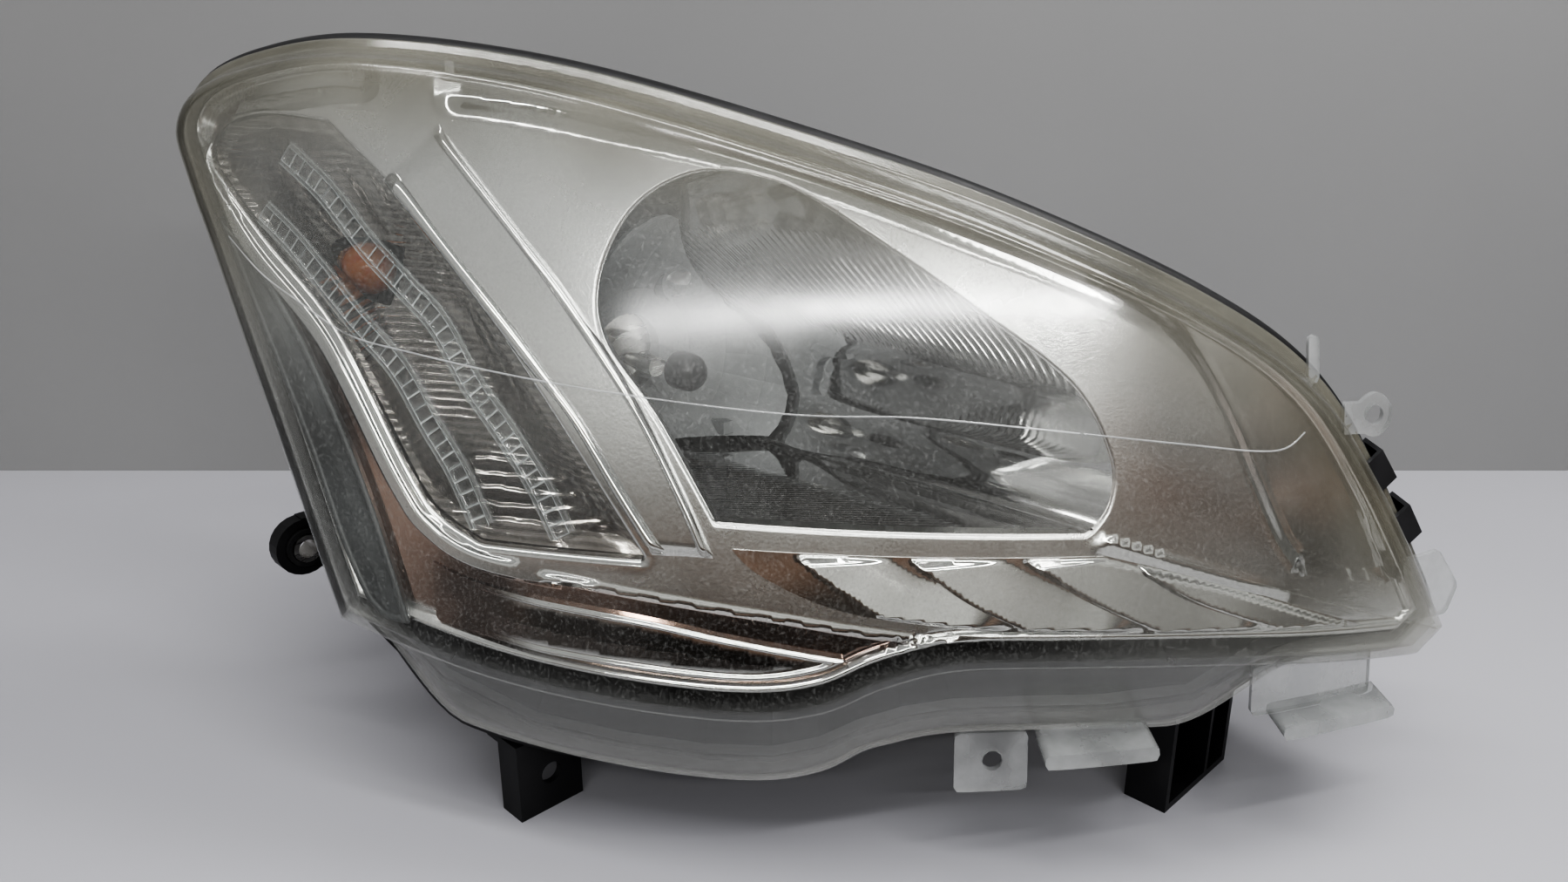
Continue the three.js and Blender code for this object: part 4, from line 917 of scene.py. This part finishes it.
def flute_panel():
    """Four swept steps, each rising to a crest and dropping sharply to the next."""
    outline = even(loop(FLUTE_PANEL), 2, True)
    crests = [spline(f, 40) for f in FLUTES]

    def depth(xz):
        rim = line_distance(xz, outline, True)[0]
        step = np.zeros(len(xz))
        for crest in crests:
            d, side, _ = line_distance(xz, crest)
            signed = np.where(side > 0, d, -d)
            ramp = np.clip((19 - signed) / 18.6, 0, 1) ** 1.15
            step = np.maximum(step, 3.8 * np.where(signed > 0, ramp, smoothstep(-1.1, 0, signed)))
        return lens_depth(xz[:, 0], xz[:, 1]) + BEZEL_DEPTH - 0.7 - step * smoothstep(0, 2.6, rim)

    zero = lambda xz: np.zeros(len(xz))
    inner = [line[inside(line, grown(outline, -1.5))] for c in crests for line in (c, parallel(c, -1.1))]
    relief("swept_flutes", outline, depth, CHROME, "lamp_body", BEZEL_DEPTH + 1, cell=1.3,
           lines=[c for c in inner if len(c) > 3],
           slot="bezel_chrome", replaces=("flute_panel",), masks={"satin": zero, "painted_copper_reflection": zero})


twin_bars()
trim_blade("charcoal_blade", OUTER_BLADE, CHARCOAL, "outer_blade", 1.4, 1.6, slot="blade_charcoal")
# The lower blade is chrome with a painted copper reflection at its left end and a painted dark reflection along the
# rest.
trim_blade("dark_reflection_blade", LOWER_BLADE, CHROME, "lower_blade", 1.2, 1.3, fade=48.0, slot="bezel_chrome")
flute_panel()

# ---------------------------------------------------------------- reflector and bulbs


def main_reflector():
    """Free-form reflector: a paraboloid with a tilted facet under the bulb and a ribbed outer facet."""
    rim = opening_in_vehicle(-5, 0)[:, [0, 2]]
    a = np.linspace(0, 2 * math.pi, 48, endpoint=False)
    hole = np.stack([BULB_X + 19 * np.cos(a), BULB_Z + 19 * np.sin(a)], 1)
    below = np.array([(BULB_X - 30, BULB_Z - 80), (BULB_X + 2, BULB_Z - 17), (BULB_X + 38, BULB_Z - 80)], float)
    outer = np.array([(BULB_X + 2, BULB_Z + 90), (BULB_X + 24, BULB_Z + 48), (BULB_X + 90, BULB_Z + 2)], float)

    def depth(xz):
        r2 = (xz[:, 0] - BULB_X) ** 2 + (xz[:, 1] - BULB_Z) ** 2
        y = BULB_SEAT - r2 / (4 * FOCAL)
        facet = smoothstep(0, 3, beyond(xz, below, [(BULB_X, BULB_Z - 200)]))
        far, side, _ = line_distance(xz, outer)
        over = np.where(side > 0, far, 0)
        y = y + 3.2 * facet - 2.2 * smoothstep(0, 2, over) + 0.05 * over
        return np.maximum(y, 383 + 0.06 * (y - 383))

    xz, faces, _ = fill(rim, (hole,), 1.7, lines=(even(below, 1.5)[12:-30], even(outer, 1.5)[24:-40]))
    dx = (depth(xz + [0.05, 0]) - depth(xz - [0.05, 0])) / 0.1
    dz = (depth(xz + [0, 0.05]) - depth(xz - [0, 0.05])) / 0.1
    n = np.stack([dx, -np.ones(len(xz)), dz], 1)
    n /= np.linalg.norm(n, axis=1)[:, None]
    # flute: where the ribs and their painted shade show.
    flute = np.maximum(beyond(xz, below, [(BULB_X, BULB_Z - 200)]) > 1, line_distance(xz, outer)[1] > 0).astype(float)
    faces = [tuple(f) if signed_area(xz[f]) > 0 else tuple(f[::-1]) for f in faces]
    make("fluted_reflector", from_vehicle(np.stack([xz[:, 0], depth(xz), xz[:, 1]], 1)), faces, REFLECTOR, "reflector",
         slot="bezel_chrome", normals=n, colours={"flute": flute})
    frame["nodes"]["main_reflector"].data.materials.clear()
    frame["nodes"]["main_reflector"].data.materials.append(GREY)


def headlamp_bulb():
    tip = BULB_SEAT - 55
    glass = [(0.01, tip + 0.4), (3, tip + 0.8), (5.6, tip + 2.2), (7.4, tip + 4.6), (8.3, tip + 8),
             (8.3, BULB_SEAT - 6),
             (7.6, BULB_SEAT - 4.4)]
    turned_piece("bulb_glass", glass, BULB_X, BULB_Z, GLASS, "reflector", slot="bulb_glass",
                 replaces=("headlamp_bulb_glass",))
    cap = [(0.01, tip), (3, tip + 0.3), (6, tip + 1.8), (7.9, tip + 4.4), (8.5, tip + 8), (8.5, tip + 14),
           (8.42, tip + 14.4)]
    turned_piece("bulb_black_tip", cap, BULB_X, BULB_Z, BLACK_CAP, "reflector", slot="fitting_black")
    coil = [(0.01, tip + 20), (0.9, tip + 20), (0.9, tip + 26), (0.01, tip + 26)]
    turned_piece("bulb_filament", coil, BULB_X, BULB_Z + 1.5, STEEL, "reflector", 12, slot="steel")
    shield = [(0.01, tip + 30), (4.5, tip + 30), (4.8, tip + 38), (3.0, BULB_SEAT - 5)]
    turned_piece("bulb_support", shield, BULB_X, BULB_Z - 2, STEEL, "reflector", 24, slot="steel")


def small_bulb():
    x, z = SIDELIGHT
    shape = [(0.01, 400), (2.0, 400.3), (3.8, 401.6), (4.8, 404.6), (4.8, 412), (4.1, 415.5), (3.8, 417.4)]
    turned_piece("sidelight_glass", shape, x, z, GLASS, "sidelight", 32, slot="bulb_glass",
                 replaces=("sidelight_bulb",))


def signal_bulb():
    shape = [(0.01, 487), (3.5, 487.5), (7, 489.4), (10, 493), (11.7, 497.5), (12, 501), (11.4, 505.5), (9.6, 510),
             (7.4, 513.5), (7, 516.8)]
    turned_piece("amber_bulb", shape, SIGNAL_X, SIGNAL_Z, AMBER, "turn_signal_holder", 48, slot="amber_glass",
                 replaces=("turn_signal_bulb",))


main_reflector()
headlamp_bulb()
small_bulb()
signal_bulb()

def housing_rim():
    """The housing's glossy black rim behind the lens's lip, fuller at the lower wing end."""
    p, n = skirt_edge, loop_normals(skirt_edge)
    low = smoothstep(96, 80, p[:, 1]) * smoothstep(-182, -150, p[:, 0]) * (1 - smoothstep(-110, -40, p[:, 0]))
    rows = []
    for out, depth in ((LIP - 1, 23.5), (LIP + 0.5, 23.7), (LIP + 1.7, 25.4), (LIP + 2.1, 28), (LIP + 1.5, 31),
                       (LIP - 2, 36), (LIP - 6, 40)):
        q = p + n * (out + max(out - LIP, 0) * 1.6 * low)[:, None]
        rows.append(np.stack([q[:, 0], lens_depth(q[:, 0], q[:, 1]) + depth, q[:, 1]], 1))
    make("housing_rim", from_face(np.vstack(rows)), grid_faces(len(rows), len(p), True, signed_area(p) < 0), BLACK,
         "lamp_body", slot="housing_black")


housing_rim()

# ---------------------------------------------------------------- turn signal


def inner_lens():
    outline = grown(signal_window, 2.2)
    depth = lambda xz: lens_depth(xz[:, 0], xz[:, 1]) + INNER_LENS_DEPTH
    relief("smoked_inner_lens", outline, depth, SMOKED, "lamp_body", INNER_LENS_DEPTH + INNER_LENS_WALL, cell=4,
           slot="lens_clear", replaces=("turn_signal_inner_lens",))


def ladder(name, line, node):
    """A clear strip with raised side rails and closely spaced rungs; attribute line marks both for a painted highlight.
    """
    centre = even(spline(line, 200), 0.5)
    along = np.gradient(centre, axis=0)
    along /= np.linalg.norm(along, axis=1)[:, None]
    across = np.stack([along[:, 1], -along[:, 0]], 1)
    length = np.arange(len(centre)) * 0.5
    rung = smoothstep(0.75, 0.95, np.cos(2 * math.pi * length / 5.2))
    us = np.array([-5.6, -5.5, -5.2, -4.9, -4.6, -3.6, -3.3, -3.0, -2.6, -1.3, 0, 1.3, 2.6, 3.0, 3.3, 3.6, 4.6, 4.9,
                   5.2, 5.5, 5.6])
    rows, lines = [], []
    for u in us:
        p = centre + across * u
        rail = max(1 - abs(abs(u) - 5.05) / 0.5, 0) + max(1 - abs(abs(u) - 3.3) / 0.35, 0)
        step = rung if abs(u) <= 3.1 else np.zeros(len(p))
        lift = np.maximum(1.6 * min(rail, 1), 1.3 * step) if abs(u) < 5.55 else np.full(len(p), -1.0)
        rows.append(np.stack([p[:, 0], lens_depth(p[:, 0], p[:, 1]) + INNER_LENS_DEPTH - 1.4 - lift, p[:, 1]], 1))
        # Painted highlight mask: 1 on the rails and rungs.
        lines.append(np.maximum(min(rail, 1), step))
    obj = make(name, from_face(np.vstack(rows)), grid_faces(len(us), len(centre)), RIBBED, "lamp_body",
               slot="lens_clear", replaces=(node,), colours={"line": np.concatenate(lines)})
    sharpen(obj, 50)
    return obj


def paint(node, *materials):
    """Gives a CAD node's object its material."""
    slots = frame["nodes"][node].data.materials
    slots.clear()
    for m in materials:
        slots.append(m)


inner_lens()
ladder("ladder_strip_outer", STRIP_OUTER, "ribbed_strip_outer")
ladder("ladder_strip_inner", STRIP_INNER, "ribbed_strip_inner")
paint("turn_signal_reflector", TROUGH)

# ---------------------------------------------------------------- CAD nodes that stay

CARRIED = {
    BLACK: ["housing_shell", "box_bracket", "lower_outer_bracket", "rear_leg_bracket"],
    FITTING: ["rear_cover", "main_connector", "levelling_motor", "lens_clip_1", "lens_clip_2"],
    GREY: ["sidelight_holder", "pivot_socket", "levelling_socket", "sideways_socket", "levelling_rod",
           "sideways_rod", "levelling_knob", "sideways_knob", "turn_signal_holder"],
    RUBBER: ["lens_seal", "cover_seal", "turn_signal_seal", "vent_cap_1", "vent_cap_2", "side_ear_grommet"],
    STEEL: ["headlamp_bulb_base", "bulb_clip", "pivot_stud", "side_ear_sleeve",
            *[f"bracket_screw_{i}" for i in range(1, 7)]],
    BRASS: ["turn_signal_bulb_base"],
}
for look, names in CARRIED.items():
    for name in names:
        paint(name, look)

# ---------------------------------------------------------------- stage, light and camera


def staged(name, points, faces, look):
    mesh = bpy.data.meshes.new(name)
    mesh.from_pydata(points, [], faces)
    mesh.polygons.foreach_set("use_smooth", [True] * len(mesh.polygons))
    mesh.materials.append(look)
    obj = bpy.data.objects.new(name, mesh)
    bpy.context.scene.collection.objects.link(obj)
    return obj


def matt(name, colour, rough):
    k = Look(name)
    cloud = k.noise(3.0, 3.0)
    base = k.blend(k.map(cloud, 0.3, 0.7, 0, 1), colour, tuple(c * 0.96 for c in colour))
    return k.surface(k.principled(Base_Color=base, Roughness=rough))


FORWARD = Vector((1, 1, 0)).normalized()
RIGHT = Vector((1, -1, 0)).normalized()


def one_sided(k, shader):
    """A stage surface that can't be seen from behind."""
    back = k.add("ShaderNodeNewGeometry").outputs["Backfacing"]
    hidden = k.add("ShaderNodeBsdfTransparent")
    return k.surface(k.add("ShaderNodeMixShader", _0=back, _1=shader, _2=hidden.outputs[0]).outputs[0])


def backdrop():
    """A pale table with a plain wall close behind it."""
    top = matt("pale table", (0.385, 0.382, 0.405), 0.34)
    far = WALL + TABLE_BEYOND_WALL
    ends = ((NEAR_EDGE, -HALF_STAGE), (NEAR_EDGE, HALF_STAGE), (far, HALF_STAGE), (far, -HALF_STAGE))
    corner = [FORWARD * f + RIGHT * r for f, r in ends]
    staged("table", [tuple(p) for p in corner], [(0, 1, 2, 3)], top)
    k = Look("grey wall")
    cloud = k.noise(2.0, 3.0)
    base = k.blend(k.map(cloud, 0.3, 0.7, 0, 1), (0.275, 0.275, 0.275), (0.25, 0.25, 0.25))
    wall = one_sided(k, k.principled(Base_Color=base, Roughness=0.8))
    left, right = (FORWARD * WALL + RIGHT * r for r in (-HALF_STAGE, HALF_STAGE))
    rise = Vector((0, 0, WALL_HEIGHT))
    staged("wall", [tuple(p) for p in (left, left + rise, right + rise, right)], [(3, 2, 1, 0)], wall)


def area_light(name, where, aim, size, power, colour=(1, 1, 1)):
    data = bpy.data.lights.new(name, "AREA")
    data.shape = "RECTANGLE"
    data.size, data.size_y = size
    data.energy = power
    data.color = colour
    obj = bpy.data.objects.new(name, data)
    obj.location = where
    obj.rotation_euler = (Vector(aim) - Vector(where)).to_track_quat("-Z", "Y").to_euler()
    bpy.context.scene.collection.objects.link(obj)


def around(f, r, z):
    """A point by its distance behind and to the right of the lamp, as the camera sees it."""
    return FORWARD * f + RIGHT * r + Vector((0, 0, z))


def world():
    """A room of light and shade by height, plainer towards the left, and one pale colour to the camera itself."""
    room = bpy.data.worlds.new("soft room")
    bpy.context.scene.world = room
    room.use_nodes = True
    k = Look("soft room", room.node_tree)
    place = k.add("ShaderNodeTexCoord").outputs["Generated"]
    height = k.add("ShaderNodeSeparateXYZ", _0=place).outputs["Z"]
    uneven = k.math("MULTIPLY_ADD", k.noise(2.6, 2.0, place), 0.22, height)
    shades = k.ramp(uneven, (0.045, 0.034, 0.028), (0.1, (0.03, 0.022, 0.018)), (0.17, (0.24, 0.15, 0.11)),
                    (0.24, (0.045, 0.038, 0.035)), (0.36, (0.36, 0.35, 0.34)), (0.46, (0.72, 0.72, 0.71)),
                    (0.55, (0.4, 0.4, 0.4)), (0.64, (0.8, 0.81, 0.81)), (0.75, (0.3, 0.3, 0.31)),
                    last=(0.5, 0.51, 0.52))
    across = k.add("ShaderNodeVectorMath", {"operation": "DOT_PRODUCT"}, _0=place, _1=tuple(-RIGHT)).outputs["Value"]
    reflected = k.blend(k.map(across, 0.35, 0.85, 0.0, 0.8), shades, (0.4, 0.4, 0.405))
    ray = k.add("ShaderNodeLightPath").outputs["Is Camera Ray"]
    background = next(n for n in room.node_tree.nodes if n.type == "BACKGROUND")
    k.set(background, "Color", k.blend(ray, reflected, (0.36, 0.36, 0.365)))
    k.set(background, "Strength", 1.0)


# The stage, in metres.
HALF_STAGE = 3.0
TABLE_BEYOND_WALL = 1.5
WALL_HEIGHT = 1.5
EDGE_GAP = 0.1
WALL_GAP = 0.723
# The camera: its height, focal length and film width in millimetres, and its pitch and heading in degrees.
CAMERA_HEIGHT = 315
FOCAL_LENGTH = 27
FILM_WIDTH = 36
CAMERA_PITCH = 70.5
CAMERA_HEADING = -45
CAMERA = from_vehicle((0, 0, CAMERA_HEIGHT))
NEAR_EDGE = float(Vector(CAMERA) @ FORWARD) + EDGE_GAP
WALL = NEAR_EDGE + WALL_GAP
backdrop()
world()
area_light("ceiling tube", around(-0.25, -0.1, 1.3), (0, 0, 0.1), (1.9, 0.05), 7)
area_light("ceiling tube back", around(0.45, 0.3, 1.35), (0, 0, 0.1), (1.9, 0.3), 20)
area_light("ceiling tube front", around(-1.32, 0.1, 0.9), (0, 0, 0.2), (1.7, 0.05), 8)
area_light("ceiling tube over camera", around(-0.75, 0.2, 1.35), (0, 0, 0.15), (1.5, 0.06), 6)

camera = bpy.data.cameras.new("camera")
camera.lens = FOCAL_LENGTH
camera.sensor_width = FILM_WIDTH
camera.clip_start = 0.01
eye = bpy.data.objects.new("camera", camera)
eye.location = CAMERA
eye.rotation_euler = (math.radians(CAMERA_PITCH), 0, math.radians(CAMERA_HEADING))
bpy.context.scene.collection.objects.link(eye)
bpy.context.scene.camera = eye
bpy.context.scene.view_settings.view_transform = "AgX"
bpy.context.scene.view_settings.look = "AgX - Very High Contrast"
bpy.context.scene.view_settings.exposure = 0.0
